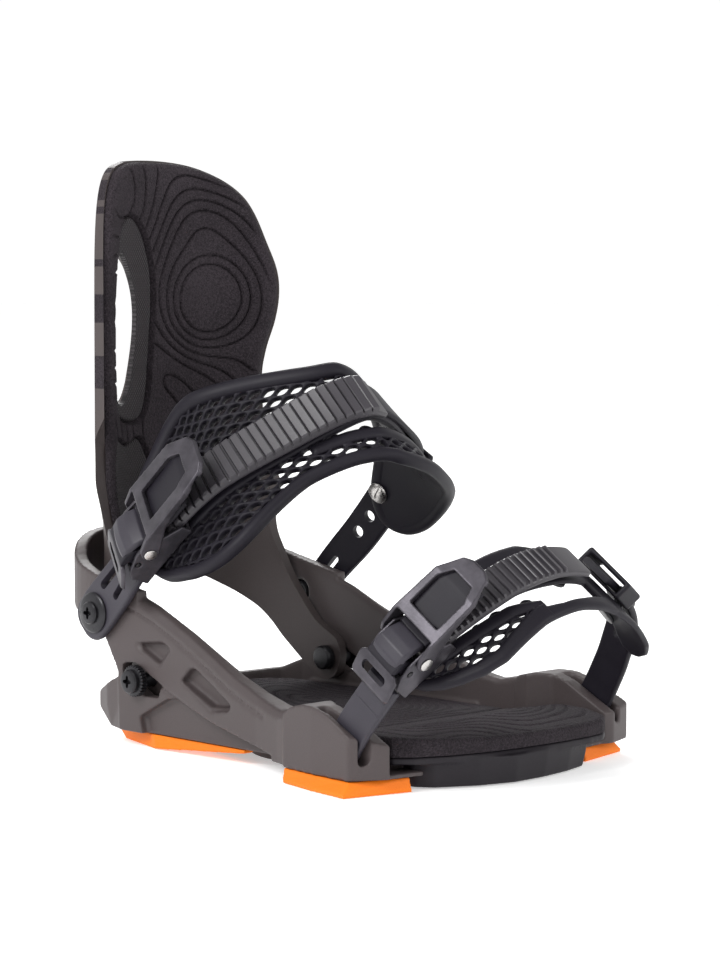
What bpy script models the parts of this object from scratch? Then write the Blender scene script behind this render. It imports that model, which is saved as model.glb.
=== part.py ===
"""Two-strap snowboard binding for a right foot, built as separate parts.

+X points to the toe, +Y to the inner side of the foot and +Z up from the board. The origin is
the middle of the mounting disc, on the board. Sizes are in millimetres, and MM turns them into
metres where a mesh or an empty is made.
"""
import math

import bmesh
import bpy
from mathutils import Matrix, Vector

MM = 0.001
GAP = 0.3

# Base
FLOOR_LOW = 6.3
FLOOR_TOP = 10.0
FLOOR_FRONT = 80.0
SILL_INNER = 50.5
SILL_OUTER = 54.0
SILL_TOP = 16.0
DISC_TOP = 9.9
DISC_RIM_LOW = 8.3
DISC_BOSS_RADIUS = 39.0
DISC_RIM_RADIUS = 46.0
HOOP_THICKNESS = 5.6
HEEL_WALL_THICKNESS = 5.0
DAMPER_TOP = 6.0
TOE_DAMPER_TOP = 5.7
TOE_BLOCK_LOW = 6.0
GROOVE_Y = 70.0
GROOVE_WIDTH = 4.4
SOLE_TOP = 17.5

# Highback
PIVOT_X = -61.5
PIVOT_Z = 28.7
SHELL_THICKNESS = 4.0
PAD_THICKNESS = 4.5
HIGHBACK_TOP = 248.0

# Straps: each runs round its loop in a plane that leans forward from the two side anchors.
ANKLE_X = -86.0
ANKLE_Z = 55.6
ANKLE_TILT = 45.0
TOE_X = 78.6
TOE_Z = 24.0
TOE_TILT = 56.0
STRAP_THICKNESS = 3.0
LADDER_THICKNESS = 2.6
ANKLE_MIDDLE = -1.0
ANKLE_LADDER_HALF = 10.5
TOE_MIDDLE = -1.4
TOE_LADDER_HALF = 8.4
TOE_STRAP_HALF = 8.3
TOE_PIN_X = 76.9
TOE_PIN_Z = 21.5

COLOURS = {
    "shell": ((0.098, 0.088, 0.080), 0.55, 0.0),
    "pad": ((0.030, 0.028, 0.032), 0.85, 0.0),
    "strap": ((0.028, 0.028, 0.034), 0.50, 0.0),
    "ladder": ((0.060, 0.060, 0.063), 0.40, 0.0),
    "buckle": ((0.075, 0.070, 0.080), 0.35, 0.8),
    "damper": ((0.90, 0.24, 0.02), 0.60, 0.0),
    "steel": ((0.55, 0.53, 0.50), 0.30, 1.0),
    "black_steel": ((0.02, 0.02, 0.022), 0.35, 0.9),
}


# ---------------------------------------------------------------- helpers

def clear_scene():
    for obj in list(bpy.data.objects):
        bpy.data.objects.remove(obj, do_unlink=True)


def collection(name):
    found = bpy.data.collections.new(name)
    bpy.context.scene.collection.children.link(found)
    return found


def material(name):
    colour, roughness, metallic = COLOURS[name]
    made = bpy.data.materials.get(name) or bpy.data.materials.new(name)
    made.use_nodes = True
    shader = made.node_tree.nodes["Principled BSDF"]
    shader.inputs["Base Color"].default_value = (*colour, 1.0)
    shader.inputs["Roughness"].default_value = roughness
    shader.inputs["Metallic"].default_value = metallic
    return made


def add_part(name, mesh, finish):
    """A visible sub-part, with its own copy of the finish's material."""
    obj = bpy.data.objects.new(name, mesh)
    PARTS.objects.link(obj)
    own = material(finish).copy()
    own.name = name
    mesh.materials.clear()
    mesh.materials.append(own)
    return obj


def add_helper(name, mesh):
    """A cutter or a piece to be joined: never rendered, never a part."""
    obj = bpy.data.objects.new(name, mesh)
    CUTTERS.objects.link(obj)
    obj.hide_render = True
    obj.display_type = "WIRE"
    return obj


def boolean(obj, other, operation):
    modifier = obj.modifiers.new(operation.lower() + "_" + other.name, "BOOLEAN")
    modifier.operation = operation
    modifier.object = other
    modifier.solver = "EXACT"


def bevel(obj, width, segments=1, angle=40.0):
    modifier = obj.modifiers.new("bevel", "BEVEL")
    modifier.width = width * MM
    modifier.segments = segments
    modifier.limit_method = "ANGLE"
    modifier.angle_limit = math.radians(angle)


def mirror_y(obj):
    modifier = obj.modifiers.new("mirror", "MIRROR")
    modifier.use_axis = (False, True, False)
    modifier.merge_threshold = 0.00001


def solidify(obj, thickness, offset=-1.0):
    modifier = obj.modifiers.new("solidify", "SOLIDIFY")
    modifier.thickness = thickness * MM
    modifier.offset = offset
    modifier.use_even_offset = True


def mesh_of(bm, name="mesh"):
    mesh = bpy.data.meshes.new(name)
    bm.to_mesh(mesh)
    bm.free()
    return mesh


def frame_matrix(origin, along, across, out):
    """Axes in millimetre space; the origin is turned into metres."""
    turned = Matrix((along, across, out)).transposed().to_4x4()
    turned.translation = Vector(origin) * MM
    return turned


def axis_matrix(origin, axis):
    """Puts a turned shape's Z along an axis."""
    turned = Vector(axis).to_track_quat("Z", "Y").to_matrix().to_4x4()
    turned.translation = Vector(origin) * MM
    return turned


def smoothstep(low, high, value):
    part = min(1.0, max(0.0, (value - low) / (high - low)))
    return part * part * (3.0 - 2.0 * part)


def mix(first, second, part):
    return first + (second - first) * part


def reading(points, x):
    """The polyline's height at x."""
    for (x0, y0), (x1, y1) in zip(points, points[1:]):
        if x <= x1:
            return mix(y0, y1, max(0.0, (x - x0) / (x1 - x0)))
    return points[-1][1]


def mirrored(half):
    """A closed outline from the half on the -Y side."""
    return half + [(x, -y) for x, y in reversed(half) if abs(y) > 0.01]


def curve_points(points, steps):
    """Catmull-Rom through the points."""
    points = [Vector(p) for p in points]
    ends = [2 * points[0] - points[1]] + points + [2 * points[-1] - points[-2]]
    found = []
    for a, b, c, d in zip(ends, ends[1:], ends[2:], ends[3:]):
        for step in range(steps):
            q = step / steps
            found.append(
                0.5 * (2 * b + (c - a) * q + (2 * a - 5 * b + 4 * c - d) * q * q
                       + (3 * b - a - 3 * c + d) * q ** 3)
            )
    found.append(points[-1])
    return found


def outline_mesh(points, depth):
    """A flat outline in XY, as thick as depth, centred on Z = 0."""
    curve = bpy.data.curves.new("outline", "CURVE")
    curve.dimensions = "2D"
    curve.fill_mode = "BOTH"
    curve.extrude = depth / 2 * MM
    spline = curve.splines.new("POLY")
    spline.points.add(len(points) - 1)
    for place, (x, y) in zip(spline.points, points):
        place.co = (x * MM, y * MM, 0.0, 1.0)
    spline.use_cyclic_u = True
    obj = bpy.data.objects.new("outline", curve)
    bpy.context.scene.collection.objects.link(obj)
    graph = bpy.context.evaluated_depsgraph_get()
    mesh = bpy.data.meshes.new_from_object(obj.evaluated_get(graph))
    bpy.data.objects.remove(obj, do_unlink=True)
    bm = bmesh.new()
    bm.from_mesh(mesh)
    bmesh.ops.remove_doubles(bm, verts=bm.verts, dist=0.000001)
    bmesh.ops.dissolve_limit(
        bm, angle_limit=0.001, verts=bm.verts, edges=bm.edges, delimit={"NORMAL"}
    )
    bmesh.ops.recalc_face_normals(bm, faces=bm.faces)
    bm.to_mesh(mesh)
    bm.free()
    return mesh


def plan_mesh(points, low, high):
    """An outline in plan, from one height to another."""
    mesh = outline_mesh(points, high - low)
    mesh.transform(Matrix.Translation((0, 0, (low + high) / 2 * MM)))
    return mesh


def side_mesh(points, y_low, y_high):
    """An outline in X and Z, from one Y to another."""
    mesh = outline_mesh(points, y_high - y_low)
    mesh.transform(Matrix.Rotation(math.pi / 2, 4, "X"))
    mesh.transform(Matrix.Translation((0, (y_low + y_high) / 2 * MM, 0)))
    return mesh


def loft_mesh(rings):
    """Quads between closed rings with equal counts, and flat ends."""
    bm = bmesh.new()
    rows = [[bm.verts.new(Vector(point) * MM) for point in ring] for ring in rings]
    for first, second in zip(rows, rows[1:]):
        for index in range(len(first)):
            after = (index + 1) % len(first)
            bm.faces.new((first[index], first[after], second[after], second[index]))
    bm.faces.new(list(reversed(rows[0])))
    bm.faces.new(rows[-1])
    bmesh.ops.recalc_face_normals(bm, faces=bm.faces)
    return mesh_of(bm)


def wall_mesh(stations, thickness):
    """An upright wall along a plan path.

    A station is (x, y, low, high), and a fifth number draws the foot of the wall inward.
    """
    rings = []
    for index, (x, y, low, high, *drawn) in enumerate(stations):
        before = Vector(stations[max(0, index - 1)][:2])
        after = Vector(stations[min(len(stations) - 1, index + 1)][:2])
        along = (after - before).normalized()
        side = Vector((-along.y, along.x)) * thickness / 2
        middle = Vector((x, y))
        inner, outer = middle - side, middle + side
        foot = -side.normalized() * sum(drawn)
        knee = mix(low, high, 0.5)
        rings.append([
            (*(inner + foot), low), (*(outer + foot), low), (*outer, knee), (*outer, high),
            (*inner, high), (*inner, knee),
        ])
    return loft_mesh(rings)


def warped_grid(columns, rows, place):
    """A sheet of quads: place(u, v) gives each vertex, with u and v from 0 to 1."""
    bm = bmesh.new()
    bmesh.ops.create_grid(bm, x_segments=columns, y_segments=rows, size=0.5)
    for vert in bm.verts:
        vert.co = Vector(place(vert.co.x + 0.5, vert.co.y + 0.5)) * MM
    bmesh.ops.recalc_face_normals(bm, faces=bm.faces)
    return mesh_of(bm)


def box_mesh(low, high):
    bm = bmesh.new()
    bmesh.ops.create_cube(bm, size=1.0)
    size = Vector(high) - Vector(low)
    middle = (Vector(high) + Vector(low)) / 2
    for vert in bm.verts:
        vert.co = Vector(a * b + c for a, b, c in zip(vert.co, size, middle)) * MM
    return mesh_of(bm)


def shade_round(mesh):
    """Smooth shading that keeps the edges of flat ends."""
    mesh.shade_smooth()
    mesh.set_sharp_from_angle(angle=math.radians(40.0))
    return mesh


def rod_mesh(radius, low, high, sides=20):
    """A plain cylinder along Z."""
    bm = bmesh.new()
    bmesh.ops.create_cone(
        bm, cap_ends=True, segments=sides, radius1=radius * MM, radius2=radius * MM,
        depth=(high - low) * MM, matrix=Matrix.Translation((0, 0, (low + high) / 2 * MM)),
    )
    return shade_round(mesh_of(bm))


def turned_part(name, profile, finish, matrix, steps=16):
    """A turned piece: its profile runs from the axis at the top down to the axis."""
    bm = bmesh.new()
    verts = [bm.verts.new((radius * MM, 0, z * MM)) for radius, z in profile]
    for first, second in zip(verts, verts[1:]):
        bm.edges.new((first, second))
    obj = add_part(name, mesh_of(bm), finish)
    modifier = obj.modifiers.new("screw", "SCREW")
    modifier.axis = "Z"
    modifier.steps = steps
    modifier.render_steps = steps
    modifier.use_merge_vertices = True
    modifier.merge_threshold = 0.00001
    modifier.use_smooth_shade = True
    obj.matrix_world = matrix
    return obj


def cut_rod(obj, name, radius, low, high, matrix):
    """Drills a hole along the matrix's Z."""
    drill = add_helper(name, rod_mesh(radius, low, high))
    drill.matrix_world = matrix
    boolean(obj, drill, "DIFFERENCE")


def joint_empty(name, origin):
    empty = bpy.data.objects.new(name, None)
    empty.location = Vector(origin) * MM
    PARTS.objects.link(empty)
    bpy.context.view_layer.update()
    return empty


def hang(empty, *objects):
    """Parents parts to a joint's empty where they are."""
    for obj in objects:
        obj.parent = empty
        obj.matrix_parent_inverse = empty.matrix_world.inverted()


# ---------------------------------------------------------------- strap surfaces

class Strap:
    """The surface that a strap's pieces lie on.

    path holds (forward, y) points round the loop, in the plane through the anchors that
    leans forward by tilt degrees. A place on the surface is t along the path, v across it
    and h out of it. lean tips the surface inward at the sides.
    """

    def __init__(self, path, base, tilt, lean):
        self.points = curve_points(path, 16)
        self.lengths = [0.0]
        for first, second in zip(self.points, self.points[1:]):
            self.lengths.append(self.lengths[-1] + (second - first).length)
        angle = math.radians(tilt)
        self.base = Vector(base)
        self.forward = Vector((math.cos(angle), 0, math.sin(angle)))
        self.normal = Vector((-math.sin(angle), 0, math.cos(angle)))
        self.lean = lean

    def on_path(self, t):
        for index, length in enumerate(self.lengths[1:]):
            if t <= length:
                start = self.lengths[index]
                part = (t - start) / (length - start)
                return self.points[index].lerp(self.points[index + 1], part)
        return self.points[-1]

    def frame(self, t):
        """Origin, along, across and out at t."""
        place = self.on_path(t)
        step = self.on_path(t + 1.5) - self.on_path(t - 1.5)
        step.normalize()
        along = self.forward * step.x + Vector((0, step.y, 0))
        across = self.normal + Vector((0, self.lean(place.x, place.y), 0))
        across.normalize()
        out = along.cross(across).normalized()
        origin = self.base + self.forward * place.x + Vector((0, place.y, 0))
        return origin, along, out.cross(along).normalized(), out

    def at(self, t, v, h=0.0):
        origin, _, across, out = self.frame(t)
        return origin + across * v + out * h

    def matrix(self, t, v=0.0, h=0.0):
        """A rigid frame there: X along, Y across, Z out."""
        origin, along, across, out = self.frame(t)
        return frame_matrix(origin + across * v + out * h, along, across, out)


def ankle_lean(forward, y):
    side = max(-1.0, min(1.0, -y / 50.0))
    return 0.34 * smoothstep(5.0, 60.0, forward) * side


ANKLE = Strap(
    [(-10, -62), (0, -62), (30, -62), (60, -59), (88, -50), (112, -27.5), (131, -4),
     (132.5, 11), (121.5, 31.5), (100, 52), (72, 62), (44, 64.5), (20, 62.6), (0, 62), (-10, 62)],
    (ANKLE_X, 0, ANKLE_Z), ANKLE_TILT, ankle_lean,
)
TOE = Strap(
    [(-8, -70), (0, -70), (14, -69), (30, -66), (50, -53), (70, -30), (77, -12),
     (77, 4), (73, 19), (63.5, 38), (46, 57.5), (25, 66), (10, 69), (0, 70), (-8, 70)],
    (TOE_X, 0, TOE_Z), TOE_TILT, lambda forward, y: 0.0,
)


def strap_sheet(strap, start, end, columns, edges, height):
    """A sheet on the strap's surface between t = start and end.

    edges is a list of functions of t, from the lowest edge to the highest.
    """
    rows = len(edges) - 1

    def place(u, v):
        t = mix(start, end, u)
        row = min(rows - 1, int(v * rows + 0.0001))
        low, high = edges[row](t), edges[row + 1](t)
        return strap.at(t, mix(low, high, v * rows - row), height)

    return warped_grid(columns, rows, place)


def edge(points):
    return lambda t: reading(points, t)


# ---------------------------------------------------------------- base

HOOP_HALF = [
    (-62, -57.2, 48, 66.0), (-78, -57.2, 46, 69.0), (-92, -57.2, 50, 72), (-105, -54.5, 54, 76),
    (-115, -47.5, 57, 82), (-122, -35, 61, 86.5), (-126, -16, 65.5, 88), (-127.4, 0, 66.5, 88.3),
]
HEEL_WALL_HALF = [
    (-60, -57.2, 30.5, 0), (-74, -57.2, 30, 0), (-84, -55.8, 25.5, 2), (-94, -51.5, 21, 6),
    (-100, -43, 20, 8), (-103.5, -25, 19.5, 8), (-105, 0, 19, 8),
]
RAIL_TOP = [
    (-94, 71.5), (-63, 64.2), (-53, 61.0), (-29, 50.8), (1.6, 37.0), (17.7, 31.4), (30, 28.6),
    (34.5, 28.0), (42, 29.5), (56, 32.0),
]
RAIL_LOW = [(-94, 55), (-84, 45.4), (-75, 31.0), (-74.9, FLOOR_LOW), (56, FLOOR_LOW)]
RAIL_OUTER = [(-94, 60.0), (-40, 60.0), (-12, 62.0), (18, 65.0), (34, 68.5), (44, 71.8), (56, 73)]
RAIL_INNER = [(-94, 54.4), (-30, SILL_OUTER), (20, 55.5), (56, 60.0)]
RAIL_STATIONS = (
    -94, -84, -75.1, -74.7, -63, -53, -41, -29, -14, 1.6, 17.7, 26, 30, 34.5, 42, 56,
)
TOE_BLOCK_LATERAL = [
    (44, -58), (40.6, -71.5), (60, -74.2), (83, -76), (91, -61.5), (62, -61.5), (52, -56),
]
TOE_BLOCK_MEDIAL = [
    (44, 58), (40.6, 71.8), (60, 77), (86.5, 81), (92, 66), (91, 61.5), (62, 61.5), (52, 56),
]
TOE_BLOCK_SIDE = [
    (40, 0), (40, 27), (46, 30.5), (54, 32.4), (62, 32.2), (70, 29.8), (81, 24), (90, 19.5),
    (94, 18.5), (94, 0),
]
WINDOW_REAR = [(-61.9, 44.4), (-47.2, 45.6), (-42.5, 43.5), (-48.9, 36.9), (-59.6, 41.7)]
WINDOW_FRONT = [(-27.5, 37), (-33.9, 31.3), (-13.9, 22.6), (-2.8, 23.4), (-1.6, 25.4), (-23.7, 37)]
ARCH = [
    (-58.4, 4), (-61, 13.5), (-51.8, 18.3), (-42.7, 22.9), (-36.9, 23.3), (-13.8, 16.5),
    (12, 11.5), (30, 8.5), (30, 4),
]
PIVOT_SLOT = [(-72, 35), (-64, 36), (-47, 28), (-49, 22.5), (-57, 22.5), (-72, 30)]
GROOVE_SIDE = [
    (60, 40), (64.5, 18), (74, 11.6), (85.5, 11.6), (88, 14.4), (96, 14.4), (96, 40),
]


def both_sides(half):
    return half + [(x, -y, *rest) for x, y, *rest in reversed(half[:-1])]


def rail_mesh():
    """One side rail: it rises and leaves the foot's line from toe to heel."""
    rings = []
    for x in RAIL_STATIONS:
        inner, outer = -reading(RAIL_INNER, x), -reading(RAIL_OUTER, x)
        low, top = reading(RAIL_LOW, x), reading(RAIL_TOP, x)
        rings.append([
            (x, inner, low), (x, outer, low), (x, outer, top - 4), (x, outer + 2, top - 1),
            (x, inner - 1.5, top), (x, inner, top - 1.5),
        ])
    return loft_mesh(rings)


def make_baseplate():
    floor_half = [
        (-99, 0), (-97.5, -28), (-92.5, -42), (-85, -50), (-76, -55.5), (40, -57), (56, -63),
        (FLOOR_FRONT, -63), (FLOOR_FRONT, 0),
    ]
    base = add_part("baseplate", plan_mesh(mirrored(floor_half), FLOOR_LOW, FLOOR_TOP), "shell")
    sill = add_helper("sill", side_mesh(
        [(-82, FLOOR_LOW), (46, FLOOR_LOW), (46, SILL_TOP - 4), (38, SILL_TOP), (-78, SILL_TOP)],
        -SILL_OUTER - 0.5, -SILL_INNER))
    rail = add_helper("rail", rail_mesh())
    blocks = []
    for name, plan in (("lateral", TOE_BLOCK_LATERAL), ("medial", TOE_BLOCK_MEDIAL)):
        block = add_helper("toe_block_" + name, plan_mesh(plan, TOE_BLOCK_LOW, 36))
        boolean(block, add_helper("block_side_" + name, side_mesh(TOE_BLOCK_SIDE, -95, 95)), "INTERSECT")
        blocks.append(block)
    tongue = add_helper("tongue", plan_mesh(
        [(78, -62.5), (90.3, -62.5), (92.7, -45), (78, -45)], TOE_BLOCK_LOW, 7.7))
    for piece in (sill, rail, tongue):
        mirror_y(piece)
    hoop = add_helper("hoop", wall_mesh(curve_points(both_sides(HOOP_HALF), 3), HOOP_THICKNESS))
    heel = add_helper("heel_wall", wall_mesh(
        both_sides([(x, y, FLOOR_LOW, top, taper) for x, y, top, taper in HEEL_WALL_HALF]),
        HEEL_WALL_THICKNESS))
    for piece in (sill, rail, *blocks, tongue, hoop, heel):
        boolean(base, piece, "UNION")

    for name, outline, inner, outer in (
        ("window_rear", WINDOW_REAR, 56, 70), ("window_front", WINDOW_FRONT, 56.5, 75),
        ("arch", ARCH, 56.5, 75), ("pivot_slot", PIVOT_SLOT, 45, 70),
        ("groove", GROOVE_SIDE, GROOVE_Y - GROOVE_WIDTH / 2, GROOVE_Y + GROOVE_WIDTH / 2),
    ):
        cutter = add_helper(name, side_mesh(outline, -outer, -inner))
        mirror_y(cutter)
        boolean(base, cutter, "DIFFERENCE")
    seat = add_helper("disc_seat", rod_mesh(DISC_BOSS_RADIUS + 0.4, 0, 20, 64))
    ledge = add_helper("disc_ledge", rod_mesh(DISC_RIM_RADIUS + 0.4, DISC_RIM_LOW - GAP, 20, 64))
    boolean(base, seat, "DIFFERENCE")
    boolean(base, ledge, "DIFFERENCE")
    for side in (-1, 1):
        hole = axis_matrix((ANKLE_X, 0, ANKLE_Z), (0, side, 0))
        cut_rod(base, f"ankle_hole_{side}", 3.4, 45, 70, hole)
        cut_rod(base, f"ankle_nut_seat_{side}", 5.6, 45, 57.2, hole)
    return base


def make_disc():
    disc = turned_part(
        "disc",
        [(0, DISC_TOP), (DISC_RIM_RADIUS - 1, DISC_TOP), (DISC_RIM_RADIUS, DISC_TOP - 0.8),
         (DISC_RIM_RADIUS, DISC_RIM_LOW), (DISC_BOSS_RADIUS, DISC_RIM_LOW), (DISC_BOSS_RADIUS, 0),
         (0, 0)],
        "shell", Matrix.Identity(4), 48)
    for x in (-20, 20):
        for y in (-20, 20):
            slot = add_helper(f"disc_slot_{x}_{y}", box_mesh((x - 9, y - 3.2, -5), (x + 9, y + 3.2, 20)))
            boolean(disc, slot, "DIFFERENCE")
    return disc


def make_heel_damper():
    top = [
        (-97, 0), (-96.5, -24), (-95, -38), (-92.5, -46.5), (-56, -56), (-30, -55.5), (0, -55.5),
        (0, -50), (-30, -44), (-44, -30), (-50, 0),
    ]
    low = [
        (-90, 0), (-89.5, -24), (-88, -38), (-85.6, -47.3), (-54.1, -56.4), (-30, -55.5), (0, -55.5),
        (0, -50), (-30, -44), (-44, -30), (-50, 0),
    ]
    rings = [
        [(x, y, DAMPER_TOP) for x, y in mirrored(top)],
        [(x, y, 4.4 * max(0.0, (x + 54) / 54)) for x, y in mirrored(low)],
    ]
    add_part("heel_damper", loft_mesh(rings), "damper")


def make_toe_dampers():
    low = [(44, 48), (41.6, 72.2), (62, 76.5), (84, 79.5), (91, 50)]
    top = [(44, 48), (40.6, 70.5), (62, 73.8), (82.5, 75.6), (89.8, 50)]
    for name, side in (("toe_damper_lateral", -1), ("toe_damper_medial", 1)):
        rings = [
            [(x, side * y, z) for x, y in ring]
            for ring, z in ((low, 0.0), (low, 1.5), (top, TOE_DAMPER_TOP))
        ]
        add_part(name, loft_mesh(rings), "damper")


def make_footbed():
    half = [
        (-98, 0), (-96.5, -26), (-91.5, -39), (-83, -46.6), (-76, -48), (-54, -48), (-48, -49.7),
        (46, -49.7), (46, 0),
    ]
    pad = add_part("footbed", plan_mesh(mirrored(half), FLOOR_TOP + GAP, SOLE_TOP), "pad")
    bevel(pad, 1.2)


RAMP_FRONT = [
    (78, -56.5), (86, -55.8), (92, -49), (98.5, -34), (102.5, -18), (104.5, 0), (105, 20), (104, 38),
    (102, 48.5), (97, 55), (86, 57), (78, 57),
]
NOSE_LOW = [
    (FLOOR_FRONT + 0.6, -43.5), (86, -43.5), (92.4, -38.8), (101, -23), (105.3, -7.2), (105, 10),
    (102.5, 26), (98.6, 39.5), (94.5, 43.5), (FLOOR_FRONT + 0.6, 43.5),
]


def make_toe_ramp():
    rear = [(46.6, 49.6), (46.6, -49.6), (58, -51.2), (70, -56.0)]
    ramp = add_part(
        "toe_ramp", plan_mesh([(46.6, 49.6), *rear[1:], *RAMP_FRONT, (70, 56.0), (58, 51.2)],
                        FLOOR_TOP + GAP, 13.2), "strap")
    nose = add_helper("ramp_nose", loft_mesh([
        [(x, y, 0.3) for x, y in NOSE_LOW],
        [(x + (1.0 if x > 86 else 0.0), y * 1.03, 7.0) for x, y in NOSE_LOW],
        [(x + (1.0 if x > 86 else 0.0), y * 1.03, 11.5) for x, y in NOSE_LOW],
    ]))
    boolean(ramp, nose, "UNION")
    bevel(ramp, 0.6)
    outline = [(47.2, -49.4), (58, -50.8), (70, -55.4), *RAMP_FRONT, (70, 55.4), (58, 50.8), (47.2, 49.4)]
    pad = add_part("toe_ramp_pad", plan_mesh(outline, 13.2 + GAP, SOLE_TOP), "pad")
    for vert in pad.data.vertices:
        if vert.co.z > 0.016:
            vert.co.z += reading([(50, 0.3), (72, 4.0), (86, 3.6), (106, 1.2)], vert.co.x / MM) * MM
    bevel(pad, 0.8)
    empty = joint_empty("toe_ramp_axis", (TOE_X, 0, FLOOR_TOP))
    hang(empty, ramp, pad)


# ---------------------------------------------------------------- highback

def highback_section(z):
    """Four control points in plan, from the back's middle to the wing's front edge."""
    up = smoothstep(58, 112, z)
    back = mix(-118.0, -110.0, smoothstep(60, 250, z))
    return (
        Vector((back, 0)),
        Vector((back - 0.5, mix(36, 26, up))),
        Vector((mix(-108, -103, up), mix(48.8, 46, up))),
        Vector((mix(-46, -88, up), mix(48.7, 56, up))),
    )


def highback_place(u, z, inset=0.0):
    """A point on the highback's inner face: u runs from -1 to 1 across it."""
    a, b, c, d = highback_section(z)
    q = abs(u)
    point = a * (1 - q) ** 3 + 3 * b * q * (1 - q) ** 2 + 3 * c * q * q * (1 - q) + d * q ** 3
    slope = 3 * ((b - a) * (1 - q) ** 2 + 2 * (c - b) * q * (1 - q) + (d - c) * q * q)
    slope.normalize()
    side = -1 if u < 0 else 1
    x = point.x + slope.y * inset
    y = point.y - slope.x * inset
    return Vector((x, side * y, z))


WING_SIDE = [
    (-140, 69), (-118, 66.5), (-113, 59.6), (-106, 53.7), (-99, 48.4), (-93, 42.5), (-86, 34.7),
    (-71, 22.0), (-63, 18.6), (-56.5, 21.5), (-53.6, 28), (-54, 33.5), (-57, 38), (-69, 45),
    (-81.6, 60), (-89.7, 73.5), (-95.5, 86), (-97.5, 104), (-97, 125), (-86, 140), (-86, 260),
    (-140, 260),
]
HIGHBACK_REAR = [
    (-70, 10), (-70, 100), (-55, 112), (-54.5, 190), (-53, 211), (-48, 232), (-41, 243),
    (-31, 247), (-16, HIGHBACK_TOP), (0, 247.5), (14, 245.3), (27, 240.5), (36, 234), (41.5, 225.5),
    (46, 213), (49.5, 201), (50.3, 190), (49, 178), (45.8, 164), (44.5, 150), (46, 122),
    (55, 102), (70, 90), (70, 10),
]
HIGHBACK_WINDOW = [
    (-35, 207), (-38.5, 197.5), (-40.3, 174.5), (-38, 155.5), (-35, 144.5), (-30, 140.8),
    (-25.5, 146), (-22.8, 158), (-23, 174), (-25.5, 188), (-31, 199.5),
]
PAD_OUTLINE = [
    (-30, 72), (-44, 86), (-46, 110), (-47, 165), (-46.5, 209), (-43, 229), (-36, 240.5),
    (-16, 245.5), (5, 244.2), (25, 238.5), (34, 231.5), (38.5, 225), (43, 215.5), (46, 202),
    (46.8, 192.6), (45.8, 183), (41.5, 163), (40.5, 150), (40.5, 110), (38, 92), (29, 79), (16, 72),
]
INSERT_OUTLINE = [
    (-30, 224), (-36.4, 216), (-41, 204), (-43, 190), (-43.5, 165), (-43, 145), (-41, 134),
    (-25.7, 131.5), (-18.8, 134.3), (-15.5, 148.3), (-13, 174), (-13, 191.7), (-17, 205),
    (-21.7, 213.4),
]


def rear_mesh(outline):
    """An outline in Y and Z, cut right through the highback."""
    mesh = outline_mesh(outline, 160)
    mesh.transform(Matrix(((0, 0, 1, -0.100), (1, 0, 0, 0), (0, 1, 0, 0), (0, 0, 0, 1))))
    return mesh


def shell_sheet(low, high, rows, inset, span=1.0, columns=24):
    return warped_grid(
        columns, rows,
        lambda u, v: highback_place((2 * u - 1) * span, mix(low, high, v), inset))


def make_highback(axis):
    shell = add_part("highback", shell_sheet(12, 256, 16, 0.0), "shell")
    solidify(shell, SHELL_THICKNESS)
    boolean(shell, add_helper("wing_side", side_mesh(WING_SIDE, -90, 90)), "INTERSECT")
    boolean(shell, add_helper("highback_rear", rear_mesh(HIGHBACK_REAR)), "INTERSECT")
    window = add_helper("highback_window", rear_mesh(HIGHBACK_WINDOW))
    boolean(shell, window, "DIFFERENCE")
    for side in (-1, 1):
        hole = axis_matrix((PIVOT_X, 0, PIVOT_Z), (0, side, 0))
        cut_rod(shell, f"pivot_hole_{side}", 3.4, 40, 70, hole)

    inset = 0.7
    pad = add_part("highback_pad", shell_sheet(62, 252, 14, inset, 0.9, 20), "pad")
    solidify(pad, PAD_THICKNESS, 1.0)
    boolean(pad, add_helper("pad_outline", rear_mesh(PAD_OUTLINE)), "INTERSECT")
    recess = add_helper("insert_outline", rear_mesh(INSERT_OUTLINE))
    boolean(pad, recess, "DIFFERENCE")

    insert = add_part("highback_insert", shell_sheet(118, 232, 8, inset, 0.9, 20), "pad")
    solidify(insert, 2.0, 1.0)
    smaller = [(-29 + (y + 29) * 0.94, 178 + (z - 178) * 0.982) for y, z in INSERT_OUTLINE]
    boolean(insert, add_helper("insert_shape", rear_mesh(smaller)), "INTERSECT")
    boolean(insert, window, "DIFFERENCE")
    hang(axis, shell, pad, insert)


def make_pivots():
    """The screws that the highback folds on, from outside, and their nuts inside."""
    for name, side in (("lateral", -1), ("medial", 1)):
        outward = axis_matrix((PIVOT_X, 0, PIVOT_Z), (0, side, 0))
        turned_part(
            f"pivot_screw_{name}",
            [(0, 66.2), (4.2, 66.2), (5.0, 65.4), (5.0, 63.6), (6.4, 63.2), (6.4, 60.4), (3.0, 60.4),
             (3.0, 45.6), (0, 45.6)],
            "black_steel", outward)
        nut = turned_part(
            f"pivot_nut_{name}",
            [(0, 48.0), (5.4, 48.0), (5.4, 45.0), (4.6, 44.2), (0, 44.2)], "black_steel", outward)
        cut_rod(nut, f"pivot_nut_hole_{name}", 3.3, 45.3, 60, outward)


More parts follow.
